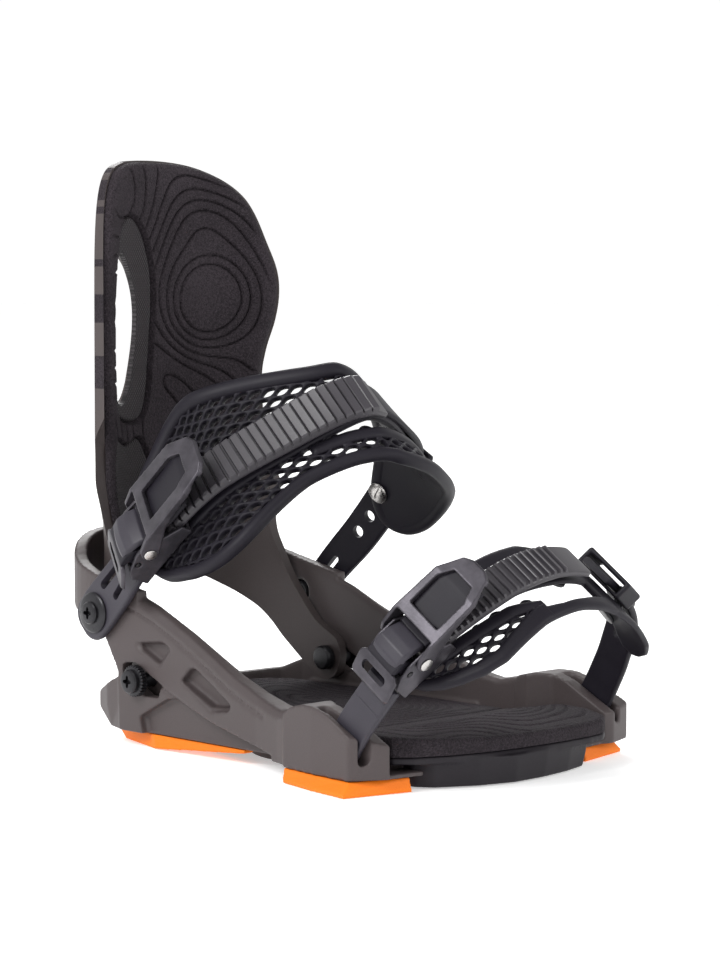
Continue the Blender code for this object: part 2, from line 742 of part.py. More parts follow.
def make_lean_adjuster(highback_axis):
    """Block behind the highback that rests on the hoop, its flip lever and pin."""
    block = add_part("lean_block", box_mesh((-133.0, -13, 89.0), (-122.6, 13, 112)), "shell")
    pocket = add_helper("lean_pocket", box_mesh((-140, -9.4, 93.5), (-127.0, 9.4, 120)))
    boolean(block, pocket, "DIFFERENCE")
    bevel(block, 1.0)
    lever = add_part("lean_lever", box_mesh((-131.6, -9, 95.2), (-128.0, 9, 116)), "buckle")
    bevel(lever, 0.8)
    pin_axis = axis_matrix((-129.8, 0, 97.0), (0, 1, 0))
    for piece in (block, lever):
        cut_rod(piece, f"lean_pin_hole_{piece.name}", 1.35, -20, 20, pin_axis)
    pin = add_part("lean_pin", rod_mesh(1.0, -12.5, 12.5, 16), "steel")
    pin.matrix_world = pin_axis
    slide = joint_empty("lean_slide_axis", (-128, 0, 89))
    flip = joint_empty("lean_lever_axis", (-129.8, 0, 97.0))
    hang(slide, block, pin)
    hang(flip, lever)
    hang(highback_axis, slide)
    hang(slide, flip)


# ---------------------------------------------------------------- buckles

class Buckle:
    """Sizes of a ratchet buckle in its own frame: X along the strap, Y across, Z out."""

    def __init__(self, prefix, matrix, tail, front, lever_end, scale):
        self.prefix = prefix
        self.matrix = matrix
        self.tail = tail
        self.front = front
        self.lever_end = lever_end
        self.wall_inner = 11.2 * scale
        self.wall_outer = 12.9 * scale
        self.arm_inner = 13.3 * scale
        self.arm_outer = 15.3 * scale
        self.pin_height = 7.0
        self.release_x = tail + 8.0
        self.release_height = 6.4


def buckle_frame(b):
    """A channel for the ladder: a floor, two side walls with the pin holes, and a bridge."""
    side = [
        (b.tail, -3.6), (b.tail, 4.5), (b.tail + 3.2, 7.6), (-5, 10.2), (3, 10.2), (7, 6),
        (b.front, 1.5), (b.front, -3.6),
    ]
    channel = [
        (-40, -2), (40, -2), (40, 30), (b.tail + 4.6, 30), (b.tail + 4.6, 6.2), (b.tail + 2.5, 4),
        (b.tail + 1.5, 2.7), (-40, 2.7),
    ]
    frame = add_part(
        b.prefix + "_buckle_frame", side_mesh(side, -b.wall_outer, b.wall_outer), "buckle")
    cutter = add_helper(b.prefix + "_channel", side_mesh(channel, -b.wall_inner, b.wall_inner))
    cutter.matrix_world = b.matrix
    boolean(frame, cutter, "DIFFERENCE")
    frame.matrix_world = b.matrix
    lever_axis = b.matrix @ axis_matrix((0, 0, b.pin_height), (0, 1, 0))
    release_axis = b.matrix @ axis_matrix((b.release_x, 0, b.release_height), (0, 1, 0))
    cut_rod(frame, b.prefix + "_frame_lever_hole", 1.9, -30, 30, lever_axis)
    cut_rod(frame, b.prefix + "_frame_release_hole", 1.3, -30, 30, release_axis)
    return frame, lever_axis, release_axis


def buckle_lever(b, lever_axis):
    """Ring lever: two arms outside the frame's walls and a broad loop over the ladder."""
    end = b.lever_end
    reach = b.arm_outer
    ring = [
        (-3.4, reach), (8, reach), (end - 12, reach - 0.6), (end - 2, reach - 5), (end, reach - 9),
        (end, -reach + 9), (end - 2, -reach + 5), (end - 12, -reach + 0.6), (8, -reach),
        (-3.4, -reach),
    ]
    lever = add_part(b.prefix + "_lever", outline_mesh(ring, 14), "buckle")
    lever.data.transform(Matrix.Translation((0, 0, 10.5 * MM)))
    profile = [
        (-3.6, 4.5), (-3.6, 8.5), (-1, 11.5), (6, 13.6), (end - 12, 13.8), (end + 1, 11.0),
        (end + 1, 8.6), (end - 12, 11.0), (16, 9.8), (5, 5.0), (2, 3.6), (-2, 3.6),
    ]
    shape = add_helper(b.prefix + "_lever_side", side_mesh(profile, -30, 30))
    window = add_helper(b.prefix + "_lever_window", outline_mesh(
        [(12, 8.5), (end - 14, 8.5), (end - 8, 5.5), (end - 8, -5.5), (end - 14, -8.5), (12, -8.5)],
        60))
    throat = add_helper(b.prefix + "_lever_throat", box_mesh(
        (-10, -b.arm_inner, 0), (end - 4, b.arm_inner, 11.2)))
    for cutter, operation in ((shape, "INTERSECT"), (window, "DIFFERENCE"), (throat, "DIFFERENCE")):
        cutter.matrix_world = b.matrix
        boolean(lever, cutter, operation)
    back = add_helper(b.prefix + "_lever_back", box_mesh((-10, -b.arm_inner, 0), (7, b.arm_inner, 30)))
    back.matrix_world = b.matrix
    boolean(lever, back, "DIFFERENCE")
    lever.matrix_world = b.matrix
    cut_rod(lever, b.prefix + "_lever_hole", 1.9, -30, 30, lever_axis)
    return lever


def buckle_release(b, release_axis):
    """Sprung pawl: a thumb tab at the tail and a tooth over the ladder."""
    profile = [
        (b.release_x - 5.5, 9.6), (b.release_x - 5, 11.8), (b.release_x, 12.6), (-5.5, 11.4),
        (-3.6, 8.5), (-2.6, 5.2), (-2.2, 3.5), (-5.5, 4.6), (-7.5, 7.0), (b.release_x - 3.2, 9.4),
    ]
    half = b.wall_inner - 1.0
    pawl = add_part(b.prefix + "_release", side_mesh(profile, -half, half), "strap")
    boss = add_helper(b.prefix + "_release_boss", rod_mesh(2.7, 3.2, half))
    boss.matrix_world = release_axis
    other = add_helper(b.prefix + "_release_boss_2", rod_mesh(2.7, -half, -3.2))
    other.matrix_world = release_axis
    boolean(pawl, boss, "UNION")
    boolean(pawl, other, "UNION")
    room = add_helper(b.prefix + "_release_room", rod_mesh(3.2, -3.2, 3.2))
    room.matrix_world = release_axis
    boolean(pawl, room, "DIFFERENCE")
    pawl.matrix_world = b.matrix
    cut_rod(pawl, b.prefix + "_release_hole", 1.3, -30, 30, release_axis)
    return pawl


def coil_part(name, radius, wire, turns, length, matrix):
    """A small spring along Z."""
    curve = bpy.data.curves.new(name, "CURVE")
    curve.dimensions = "3D"
    curve.bevel_depth = wire * MM
    curve.bevel_resolution = 0
    curve.use_fill_caps = True
    spline = curve.splines.new("POLY")
    count = turns * 9
    spline.points.add(count)
    for index, place in enumerate(spline.points):
        angle = 2 * math.pi * index / 9
        z = (index / count - 0.5) * length
        place.co = (radius * math.cos(angle) * MM, radius * math.sin(angle) * MM, z * MM, 1)
    holder = bpy.data.objects.new(name + "_wire", curve)
    bpy.context.scene.collection.objects.link(holder)
    graph = bpy.context.evaluated_depsgraph_get()
    mesh = bpy.data.meshes.new_from_object(holder.evaluated_get(graph))
    bpy.data.objects.remove(holder, do_unlink=True)
    bm = bmesh.new()
    bm.from_mesh(mesh)
    bmesh.ops.remove_doubles(bm, verts=bm.verts, dist=0.000001)
    bm.to_mesh(mesh)
    bm.free()
    obj = add_part(name, shade_round(mesh), "steel")
    obj.matrix_world = matrix
    return obj


def make_buckle(b, strap_axis):
    frame, lever_axis, release_axis = buckle_frame(b)
    lever = buckle_lever(b, lever_axis)
    release = buckle_release(b, release_axis)
    lever_pin = turned_part(
        b.prefix + "_lever_pin",
        [(0, b.arm_outer + 0.8), (2.6, b.arm_outer + 0.6), (2.8, b.arm_outer + GAP),
         (1.5, b.arm_outer + GAP), (1.5, -b.arm_outer - GAP), (2.8, -b.arm_outer - GAP),
         (2.6, -b.arm_outer - 0.6), (0, -b.arm_outer - 0.8)],
        "steel", lever_axis, 12)
    release_pin = add_part(
        b.prefix + "_release_pin", rod_mesh(0.95, -b.wall_outer, b.wall_outer, 14), "steel")
    release_pin.matrix_world = release_axis
    spring = coil_part(b.prefix + "_release_spring", 1.9, 0.4, 4, 4.8, release_axis)
    hinge = joint_empty(b.prefix + "_lever_axis", lever_axis.translation / MM)
    pawl_hinge = joint_empty(b.prefix + "_release_axis", release_axis.translation / MM)
    hang(hinge, lever)
    hang(pawl_hinge, release)
    hang(strap_axis, frame, lever_pin, release_pin, spring, hinge, pawl_hinge)


# ---------------------------------------------------------------- ankle strap

ANKLE_BUCKLE_T = 62.0
ANKLE_MEDIAL_HOLES = (262.0, 283.0, 293.0)


def add_sheet_part(name, mesh, thickness, finish, offset=0.0):
    obj = add_part(name, mesh, finish)
    solidify(obj, thickness, offset)
    return obj


def make_ankle_bolts():
    """Hoop bolts: a broad washer and screw outside, a nut inside."""
    for name, side in (("lateral", -1), ("medial", 1)):
        outward = axis_matrix((ANKLE_X, 0, ANKLE_Z), (0, side, 0))
        turned_part(
            f"ankle_bolt_{name}",
            [(0, 67.6), (4.2, 67.4), (4.8, 66.8), (4.8, 65.8), (8.2, 65.5), (8.6, 65.0), (8.6, 64.2),
             (2.9, 64.2), (2.9, 55.0), (0, 55.0)],
            "black_steel", outward)
        nut = turned_part(
            f"ankle_nut_{name}",
            [(0, 56.8), (5.2, 56.8), (5.2, 54.6), (0, 54.6)], "black_steel", outward)
        cut_rod(nut, f"ankle_nut_hole_{name}", 3.2, 45, 60, outward)


def make_ankle_straps():
    lateral = joint_empty("ankle_buckle_axis", (ANKLE_X, 0, ANKLE_Z))
    medial = joint_empty("ankle_strap_axis", (ANKLE_X, 0, ANKLE_Z))
    hole = [axis_matrix((ANKLE_X, 0, ANKLE_Z), (0, side, 0)) for side in (-1, 1)]

    reach = ANKLE_LADDER_HALF
    low = edge([
        (-1.5, -5), (1, -8.5), (5, -10.3), (12, -reach), (30, ANKLE_MIDDLE - reach),
    ])
    high = edge([(-1.5, 5), (1, 8.5), (5, 10.3), (12, reach), (30, ANKLE_MIDDLE + reach)])
    link = add_sheet_part(
        "ankle_link", strap_sheet(ANKLE, -1.5, 44.2, 14, [low, high], 0.15), 3.6, "strap")
    cut_rod(link, "ankle_link_hole", 3.4, 50, 80, hole[0])

    buckle_matrix = ANKLE.matrix(ANKLE_BUCKLE_T, ANKLE_MIDDLE)
    ankle = Buckle("ankle", buckle_matrix, -17.0, 16.0, 46.0, 1.0)
    make_buckle(ankle, lateral)

    ladder = add_sheet_part(
        "ankle_ladder",
        strap_sheet(ANKLE, 50, 178, 32,
                    [lambda t: ANKLE_MIDDLE - reach, lambda t: ANKLE_MIDDLE + reach],
                    LADDER_THICKNESS / 2), LADDER_THICKNESS, "ladder")

    upper = edge([
        (46, 8), (52, 30), (60, 40), (70, 46), (82, 49.5), (95, 51), (106, 49), (120, 43), (135, 36.5),
        (156, 26.5), (175, 20.5), (200, 17), (220, 14), (245, 9), (262, 3), (272, -8),
    ])
    lower = edge([
        (46, -4), (49, -11), (55, -19), (65, -27), (76, -34), (90, -39), (115, -36), (147, -31),
        (182, -34), (215, -37), (235, -36), (255, -31), (268, -24), (272, -18),
    ])
    pad = add_sheet_part(
        "ankle_pad", strap_sheet(ANKLE, 46, 272, 48, [lower, upper], -6.5), 4.0, "strap")
    screw_at = ANKLE.matrix(170, ANKLE_MIDDLE)
    screw = turned_part(
        "ankle_ladder_screw",
        [(0, 4.6), (4.0, 4.4), (4.6, 3.8), (4.6, 3.0), (2.0, 3.0), (2.0, -12.0), (0, -12.0)],
        "steel", screw_at)
    nut = turned_part(
        "ankle_ladder_nut", [(0, -10.4), (4.8, -10.4), (4.8, -11.8), (0, -11.8)], "black_steel", screw_at)
    for piece in (pad, ladder):
        cut_rod(piece, "ankle_ladder_hole_" + piece.name, 2.4, -20, 20, screw_at)
    cut_rod(nut, "ankle_ladder_nut_hole", 2.4, -20, 20, screw_at)

    end = ANKLE.lengths[-1] - 1.0
    strap = add_sheet_part(
        "ankle_strap_medial",
        strap_sheet(ANKLE, 222, end - 8, 34,
                    [edge([(300, -10), (end - 12, -9), (end - 8, -5)]),
                     edge([(300, 8), (end - 12, 9), (end - 8, 5)])], 0.1),
        STRAP_THICKNESS, "strap")
    cut_rod(strap, "ankle_strap_hole", 3.4, 50, 80, hole[1])
    for index, t in enumerate(ANKLE_MEDIAL_HOLES[1:]):
        cut_rod(strap, f"adjust_hole_{index}", 2.6, -12, 12, ANKLE.matrix(t, 0, 0))

    keeper = add_part("ankle_keeper", box_mesh((-7, -13, -4.0), (7, 13, 4.0)), "strap")
    tunnel = add_helper("ankle_keeper_tunnel", box_mesh((-20, -10.8, -2.3), (20, 10.8, 2.3)))
    keeper.matrix_world = ANKLE.matrix(240, 0, 0.1)
    tunnel.matrix_world = keeper.matrix_world
    boolean(keeper, tunnel, "DIFFERENCE")
    bevel(keeper, 0.8)
    adjust_at = ANKLE.matrix(ANKLE_MEDIAL_HOLES[0], 0, 0)
    adjust_nut = turned_part(
        "ankle_adjust_nut",
        [(0, 4.4), (5.0, 4.2), (5.6, 3.4), (5.6, 2.2), (2.1, 2.2), (2.1, -9.2), (5.6, -9.2),
         (5.6, -10.6), (0, -10.6)],
        "steel", adjust_at)
    cut_rod(strap, "adjust_hole_strap", 2.5, -12, 12, adjust_at)
    cut_rod(pad, "adjust_hole_pad", 2.5, -16, 2, adjust_at)
    hang(lateral, link)
    hang(medial, ladder, pad, screw, nut, strap, keeper, adjust_nut)


# ---------------------------------------------------------------- toe strap

PAD_COLUMNS = 48


def make_toe_straps():
    lateral = joint_empty("toe_buckle_axis", (TOE_PIN_X, 0, TOE_PIN_Z))
    medial = joint_empty("toe_strap_axis", (TOE_PIN_X, 0, TOE_PIN_Z))
    half = TOE_STRAP_HALF
    link = add_sheet_part(
        "toe_link",
        strap_sheet(TOE, 0.8, 34.8, 12,
                    [edge([(10, -half), (30, TOE_MIDDLE - half)]),
                     edge([(10, half), (30, TOE_MIDDLE + half)])], 0.0), 3.0, "strap")
    end = TOE.lengths[-1]
    toe = Buckle("toe", TOE.matrix(50.5, TOE_MIDDLE), -15.0, 12.0, 40.0, 0.81)
    make_buckle(toe, lateral)
    ladder = add_sheet_part(
        "toe_ladder",
        strap_sheet(TOE, 42, 134, 28,
                    [lambda t: TOE_MIDDLE - TOE_LADDER_HALF, lambda t: TOE_MIDDLE + TOE_LADDER_HALF],
                    LADDER_THICKNESS / 2), LADDER_THICKNESS, "ladder")

    upper = edge([(38, 4), (48, 12), (60, 16), (90, 17.5), (115, 16.5), (140, 9), (152, 6), (175, 5),
                  (196, -2), (202, -10)])
    gap_high = edge([(38, 0), (70, -8), (90, -8.8), (116, -8.6), (138, -6), (202, -8)])
    gap_low = edge([(38, -4), (70, -12), (92, -12), (98, -14), (106, -17.5), (120, -16.5), (140, -15),
                    (202, -14)])
    lower = edge([(38, -8), (42, -14), (48, -19.5), (55, -23), (65, -26.7), (75, -28), (99, -25),
                  (123, -23), (145, -23), (170, -25), (188, -24), (198, -19), (202, -15)])
    mesh = strap_sheet(TOE, 38, 202, PAD_COLUMNS, [lower, gap_low, gap_high, upper], -5.6)
    open_toe_window(mesh)
    pad = add_sheet_part("toe_pad", mesh, 3.0, "strap")

    screw_at = TOE.matrix(126, TOE_MIDDLE)
    screw = turned_part(
        "toe_ladder_screw",
        [(0, 4.4), (3.6, 4.2), (4.2, 3.7), (4.2, 3.0), (1.9, 3.0), (1.9, -9.0), (0, -9.0)],
        "steel", screw_at)
    nut = turned_part(
        "toe_ladder_nut", [(0, -7.6), (4.6, -7.6), (4.6, -8.8), (0, -8.8)], "black_steel", screw_at)
    for piece in (pad, ladder, nut):
        cut_rod(piece, "toe_ladder_hole_" + piece.name, 2.3, -20, 20, screw_at)

    strap = add_sheet_part(
        "toe_strap_medial",
        strap_sheet(TOE, 150, end - 0.8, 28, [lambda t: -half, lambda t: half], 0.0), 3.0, "strap")
    for side, piece in ((-1, link), (1, strap)):
        pin_axis = axis_matrix((TOE_PIN_X, 0, TOE_PIN_Z), (0, side, 0))
        cut_rod(piece, "toe_pin_hole_" + piece.name, 2.0, 60, 80, pin_axis)
    cut_rod(strap, "toe_adjust_hole_low", 2.5, -12, 12, TOE.matrix(205, 0, 0))
    keeper = add_part("toe_keeper", box_mesh((-7, -12.6, -3.4), (7, 12.6, 4.6)), "strap")
    tunnel = add_helper("toe_keeper_tunnel", box_mesh((-20, -10.4, -2.1), (20, 10.4, 2.8)))
    keeper.matrix_world = TOE.matrix(163, 0, 0)
    tunnel.matrix_world = keeper.matrix_world
    boolean(keeper, tunnel, "DIFFERENCE")
    bevel(keeper, 0.8)
    adjust_at = TOE.matrix(183, 0, 0)
    adjust_nut = turned_part(
        "toe_adjust_nut",
        [(0, 4.0), (4.6, 3.8), (5.2, 3.0), (5.2, 1.9), (2.0, 1.9), (2.0, -7.6), (5.2, -7.6),
         (5.2, -8.8), (0, -8.8)],
        "steel", adjust_at)
    cut_rod(strap, "toe_adjust_hole_strap", 2.4, -12, 12, adjust_at)
    cut_rod(pad, "toe_adjust_hole_pad", 2.4, -16, 2, adjust_at)
    hang(lateral, link)
    hang(medial, ladder, pad, screw, nut, strap, keeper, adjust_nut)


def open_toe_window(mesh):
    """Leaves out the middle strip between the toe pad's two bands, where they part."""
    bm = bmesh.new()
    bm.from_mesh(mesh)
    bm.faces.ensure_lookup_table()
    first_column, last_column = 16, 29
    gone = []
    for face in bm.faces:
        row, column = divmod(face.index, PAD_COLUMNS)
        if row == 1 and first_column <= column <= last_column:
            gone.append(face)
    bmesh.ops.delete(bm, geom=gone, context="FACES")
    bm.to_mesh(mesh)
    bm.free()


def make_toe_anchors():
    """The pin that each toe strap turns on, across its groove."""
    for name, side in (("lateral", -1), ("medial", 1)):
        axis = axis_matrix((TOE_PIN_X, 0, TOE_PIN_Z), (0, side, 0))
        pin = add_part(f"toe_anchor_{name}", rod_mesh(1.5, 64.5, 73.6, 14), "steel")
        pin.matrix_world = axis
        cut_rod(bpy.data.objects["baseplate"], f"toe_anchor_hole_{name}", 1.9, 64.1, 74.0, axis)


# ---------------------------------------------------------------- assembly

clear_scene()
PARTS = collection("snowboard_binding")
CUTTERS = collection("cutters")
make_baseplate()
disc_axis = joint_empty("disc_axis", (0, 0, 0))
hang(disc_axis, make_disc())
make_heel_damper()
make_toe_dampers()
make_footbed()
make_toe_ramp()
highback_axis = joint_empty("highback_axis", (PIVOT_X, 0, PIVOT_Z))
make_highback(highback_axis)
make_pivots()
make_lean_adjuster(highback_axis)
make_ankle_bolts()
make_ankle_straps()
make_toe_straps()
make_toe_anchors()
bpy.context.view_layer.update()
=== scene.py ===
"""Looks for a strap snowboard binding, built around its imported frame."""
import math

import bmesh
import bpy
import numpy as np
from mathutils import Matrix, Vector


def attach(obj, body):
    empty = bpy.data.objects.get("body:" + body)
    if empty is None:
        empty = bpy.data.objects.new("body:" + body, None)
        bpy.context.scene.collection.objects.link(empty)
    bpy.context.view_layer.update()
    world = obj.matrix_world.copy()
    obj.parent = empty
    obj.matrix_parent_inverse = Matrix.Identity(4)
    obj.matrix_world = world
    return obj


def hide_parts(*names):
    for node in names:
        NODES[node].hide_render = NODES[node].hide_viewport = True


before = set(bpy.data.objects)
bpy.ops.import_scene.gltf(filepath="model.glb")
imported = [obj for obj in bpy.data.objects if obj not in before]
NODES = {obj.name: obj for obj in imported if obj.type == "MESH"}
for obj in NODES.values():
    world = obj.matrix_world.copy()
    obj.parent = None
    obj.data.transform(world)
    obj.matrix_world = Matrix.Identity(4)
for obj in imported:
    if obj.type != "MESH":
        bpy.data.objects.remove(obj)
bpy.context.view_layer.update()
MM = 0.001


# ---- small helpers

def mix(first, second, part):
    return first + (second - first) * part


def smoothstep(low, high, value):
    part = min(1.0, max(0.0, (value - low) / (high - low)))
    return part * part * (3.0 - 2.0 * part)


def reading(points, x):
    """The polyline's height at x."""
    for (x0, y0), (x1, y1) in zip(points, points[1:]):
        if x <= x1:
            return mix(y0, y1, max(0.0, (x - x0) / (x1 - x0)))
    return points[-1][1]


def curve_points(points, steps, closed=False):
    """Catmull-Rom through the points."""
    points = [Vector(p) for p in points]
    if closed:
        ends = [points[-1], *points, points[0], points[1]]
    else:
        ends = [2 * points[0] - points[1], *points, 2 * points[-1] - points[-2]]
    found = []
    for a, b, c, d in zip(ends, ends[1:], ends[2:], ends[3:]):
        for step in range(steps):
            q = step / steps
            found.append(
                0.5 * (2 * b + (c - a) * q + (2 * a - 5 * b + 4 * c - d) * q * q
                       + (3 * b - a - 3 * c + d) * q ** 3)
            )
    if not closed:
        found.append(points[-1])
    return found


def new_piece(name, bm, material, smooth_angle=40.0):
    """An object from a bmesh in metres, smooth apart from edges over the angle."""
    bmesh.ops.recalc_face_normals(bm, faces=bm.faces)
    mesh = bpy.data.meshes.new(name)
    bm.to_mesh(mesh)
    bm.free()
    mesh.shade_smooth()
    mesh.set_sharp_from_angle(angle=math.radians(smooth_angle))
    obj = bpy.data.objects.new(name, mesh)
    bpy.context.scene.collection.objects.link(obj)
    mesh.materials.append(material)
    return obj


def add_modifier(obj, kind, **settings):
    modifier = obj.modifiers.new(kind.lower(), kind)
    for key, value in settings.items():
        setattr(modifier, key, value)
    return modifier


def settle(obj, body, slot, *nodes):
    """The piece rides on a body and stands for CAD nodes; slot is not used."""
    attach(obj, body)
    if nodes:
        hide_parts(*nodes)
    return obj


# ---- materials

class Finish:
    """A new material in object space, with short ways to add shader nodes."""

    def __init__(self, name):
        self.material = bpy.data.materials.new(name)
        self.material.use_nodes = True
        self.tree = self.material.node_tree
        self.shader = self.tree.nodes["Principled BSDF"]
        self.place = self.add("TexCoord").outputs["Object"]

    def add(self, kind, links=None, **settings):
        node = self.tree.nodes.new("ShaderNode" + kind)
        for key, value in settings.items():
            setattr(node, key, value)
        for socket, source in (links or {}).items():
            if hasattr(source, "is_output"):
                self.tree.links.new(source, node.inputs[socket])
            else:
                node.inputs[socket].default_value = source
        return node

    def noise(self, scale, detail, roughness=0.5, place=None):
        place = self.place if place is None else place
        return self.add("TexNoise", {"Vector": place, "Scale": scale, "Detail": detail,
                                     "Roughness": roughness}).outputs["Fac"]

    def math(self, operation, *values):
        return self.add("Math", dict(enumerate(values)), operation=operation).outputs[0]

    def color(self, factor, *stops):
        """Base colour along a ramp of two (position, colour) stops."""
        node = self.add("ValToRGB", {"Fac": factor})
        for element, (position, color) in zip(node.color_ramp.elements, stops):
            element.position = position
            element.color = (*color, 1.0)
        self.tree.links.new(node.outputs["Color"], self.shader.inputs["Base Color"])

    def gloss(self, value, low, high, rough_low, rough_high):
        """Roughness from one value to another while the input goes from low to high."""
        node = self.add("MapRange", {"Value": value, "From Min": low, "From Max": high,
                                     "To Min": rough_low, "To Max": rough_high})
        self.tree.links.new(node.outputs["Result"], self.shader.inputs["Roughness"])

    def bump(self, height, distance, strength):
        node = self.add("Bump", {"Height": height, "Distance": distance, "Strength": strength})
        self.tree.links.new(node.outputs["Normal"], self.shader.inputs["Normal"])

    def set(self, socket, value):
        self.shader.inputs[socket].default_value = value


def moulded(name, dark, light, rough, grain=2200.0, depth=0.00006, patches=22.0, spread=0.08,
            specular=0.5):
    """Moulded surface: soft colour patches, fine grain and a slightly uneven gloss."""
    finish = Finish(name)
    broad = finish.noise(patches, 5.0, 0.6)
    fine = finish.noise(grain, 3.0, 0.7)
    both = finish.math("ADD", broad, fine)
    finish.color(finish.math("MULTIPLY", both, 0.5), (0.32, dark), (0.68, light))
    finish.gloss(broad, 0.25, 0.75, rough - spread, rough + spread)
    finish.bump(fine, depth, 0.5)
    finish.set("Specular IOR Level", specular)
    return finish.material


def foam(name, dark, light):
    """EVA foam: a dense speckle of tiny pits over a matt skin."""
    finish = Finish(name)
    pits = finish.add("TexVoronoi", {"Vector": finish.place, "Scale": 1300.0}).outputs["Distance"]
    broad = finish.noise(35.0, 4.0)
    speck = finish.noise(1100.0, 3.0, 0.7)
    share = finish.math("MULTIPLY", broad, 0.25)
    finish.color(finish.math("MULTIPLY_ADD", speck, 0.75, share), (0.42, dark), (0.60, light))
    finish.bump(finish.math("ADD", pits, speck), 0.0005, 0.9)
    finish.gloss(speck, 0.3, 0.7, 0.72, 0.95)
    finish.set("Specular IOR Level", 0.22)
    return finish.material


def brushed(name, dark, light, rough, metallic=1.0):
    """Metal with fine drawn streaks and a few darker rubs."""
    finish = Finish(name)
    drawn = finish.add("Mapping", {"Vector": finish.place, "Scale": (1.0, 1.0, 14.0)})
    streaks = finish.noise(900.0, 4.0, place=drawn.outputs[0])
    finish.color(finish.noise(90.0, 5.0, 0.65), (0.35, dark), (0.65, light))
    finish.gloss(streaks, 0.3, 0.7, rough - 0.07, rough + 0.09)
    finish.bump(streaks, 0.00002, 0.4)
    finish.set("Metallic", metallic)
    return finish.material


def knit(name, dark, light):
    """Panel of small diamonds pressed into a dark skin."""
    finish = Finish(name)
    split = finish.add("SeparateXYZ", {"Vector": finish.place})
    waves = []
    for slope in (1.5, -1.5):
        leaning = finish.math("MULTIPLY", split.outputs["Y"], slope)
        turn = finish.math("MULTIPLY", finish.math("ADD", leaning, split.outputs["Z"]), 1500.0)
        waves.append(finish.math("ABSOLUTE", finish.math("SINE", turn)))
    cells = finish.math("MINIMUM", *waves)
    finish.color(cells, (0.1, dark), (0.75, light))
    finish.bump(cells, 0.0005, 0.9)
    finish.gloss(cells, 0.0, 1.0, 0.8, 0.55)
    return finish.material


NYLON = moulded("frame_nylon", (0.046, 0.036, 0.036), (0.066, 0.053, 0.054), 0.50, specular=0.35)
SHELL = moulded("shell_nylon", (0.042, 0.033, 0.032), (0.060, 0.048, 0.048), 0.52, specular=0.35)
ELASTOMER = moulded("strap_elastomer", (0.0070, 0.0058, 0.0092), (0.0130, 0.0112, 0.0170), 0.50,
                    2600.0, 0.00004, specular=0.2)
LINK = moulded("link_elastomer", (0.022, 0.020, 0.027), (0.036, 0.032, 0.043), 0.46,
               2600.0, 0.00004, specular=0.35)
RIBBED = moulded("ladder_nylon", (0.028, 0.025, 0.030), (0.044, 0.040, 0.047), 0.38,
                 2400.0, 0.00004)
SKIRT = moulded("ramp_nylon", (0.010, 0.008, 0.011), (0.017, 0.014, 0.018), 0.55, specular=0.25)
ORANGE = moulded("orange_rubber", (0.74, 0.150, 0.004), (0.86, 0.205, 0.008), 0.58,
                 1800.0, 0.00008, spread=0.06, specular=0.25)
CASTING = brushed("buckle_casting", (0.036, 0.033, 0.040), (0.072, 0.066, 0.078), 0.40, 0.6)
ZINC = brushed("zinc_steel", (0.42, 0.41, 0.40), (0.62, 0.60, 0.58), 0.28)
BLACK_STEEL = brushed("black_steel", (0.010, 0.010, 0.012), (0.024, 0.023, 0.027), 0.33, 0.5)
EVA = foam("eva_foam", (0.0130, 0.0096, 0.0124), (0.0360, 0.0288, 0.0346))
KNIT = knit("diamond_panel", (0.0040, 0.0026, 0.0036), (0.0235, 0.0170, 0.0215))



# ---- built surfaces

def edge_distance(outline, a, b):
    """Distance in mm from each point (a, b) to a closed outline, negative outside it."""
    a = np.asarray(a, float)
    nearest = np.full(a.shape, 1e9)
    inside = np.zeros(a.shape, bool)
    for (a0, b0), (a1, b1) in zip(outline, np.roll(outline, -1, axis=0)):
        da, db = a1 - a0, b1 - b0
        part = np.clip(((a - a0) * da + (b - b0) * db) / (da * da + db * db + 1e-9), 0, 1)
        nearest = np.minimum(nearest, np.hypot(a - a0 - part * da, b - b0 - part * db))
        if (b0 > b) != (b1 > b):
            inside ^= a < a0 + (b - b0) * da / db
    return np.where(inside, nearest, -nearest)


def rounded(distance, radius):
    """From 0 at an edge to 1 at the radius and beyond, as a quarter round."""
    return np.sqrt(1.0 - (1.0 - np.clip(distance / radius, 0.0, 1.0)) ** 2)


def crossings(outline, b):
    """The outline's lowest and highest a at b."""
    found = []
    for (a0, b0), (a1, b1) in zip(outline, np.roll(outline, -1, axis=0)):
        if (b0 > b) != (b1 > b):
            found.append(a0 + (b - b0) * (a1 - a0) / (b1 - b0))
    return min(found), max(found)


def panel(outline, columns, rows, place, top, bottom, crowd, levels=None):
    """A closed sheet inside an outline of (a, b) points, in rows at one b each.

    place(a, b, h) maps a row to metres; top and bottom give h in mm from a, b and the
    distance to the outline. crowd draws the columns towards the edges.
    """
    outline = np.array([tuple(p) for p in outline])
    low, high = outline[:, 1].min(), outline[:, 1].max()
    if levels is None:
        q = np.linspace(0.003, 0.997, rows + 1)
        levels = mix(low, high, mix(q, (1 - np.cos(np.pi * q)) / 2, 0.2))
    q = np.linspace(0.0, 1.0, columns + 1)
    share = mix(q, (1 - np.cos(np.pi * q)) / 2, crowd)
    upper, lower = [], []
    for b in levels:
        start, end = crossings(outline, b)
        a = mix(start, end, share)
        inside = np.maximum(edge_distance(outline, a, b), 0.0)
        upper.append(place(a, b, top(a, b, inside)))
        lower.append(place(a, b, bottom(a, b, inside)))
    return bmesh_from(np.concatenate(upper + lower), sheet_faces(columns, len(levels) - 1))


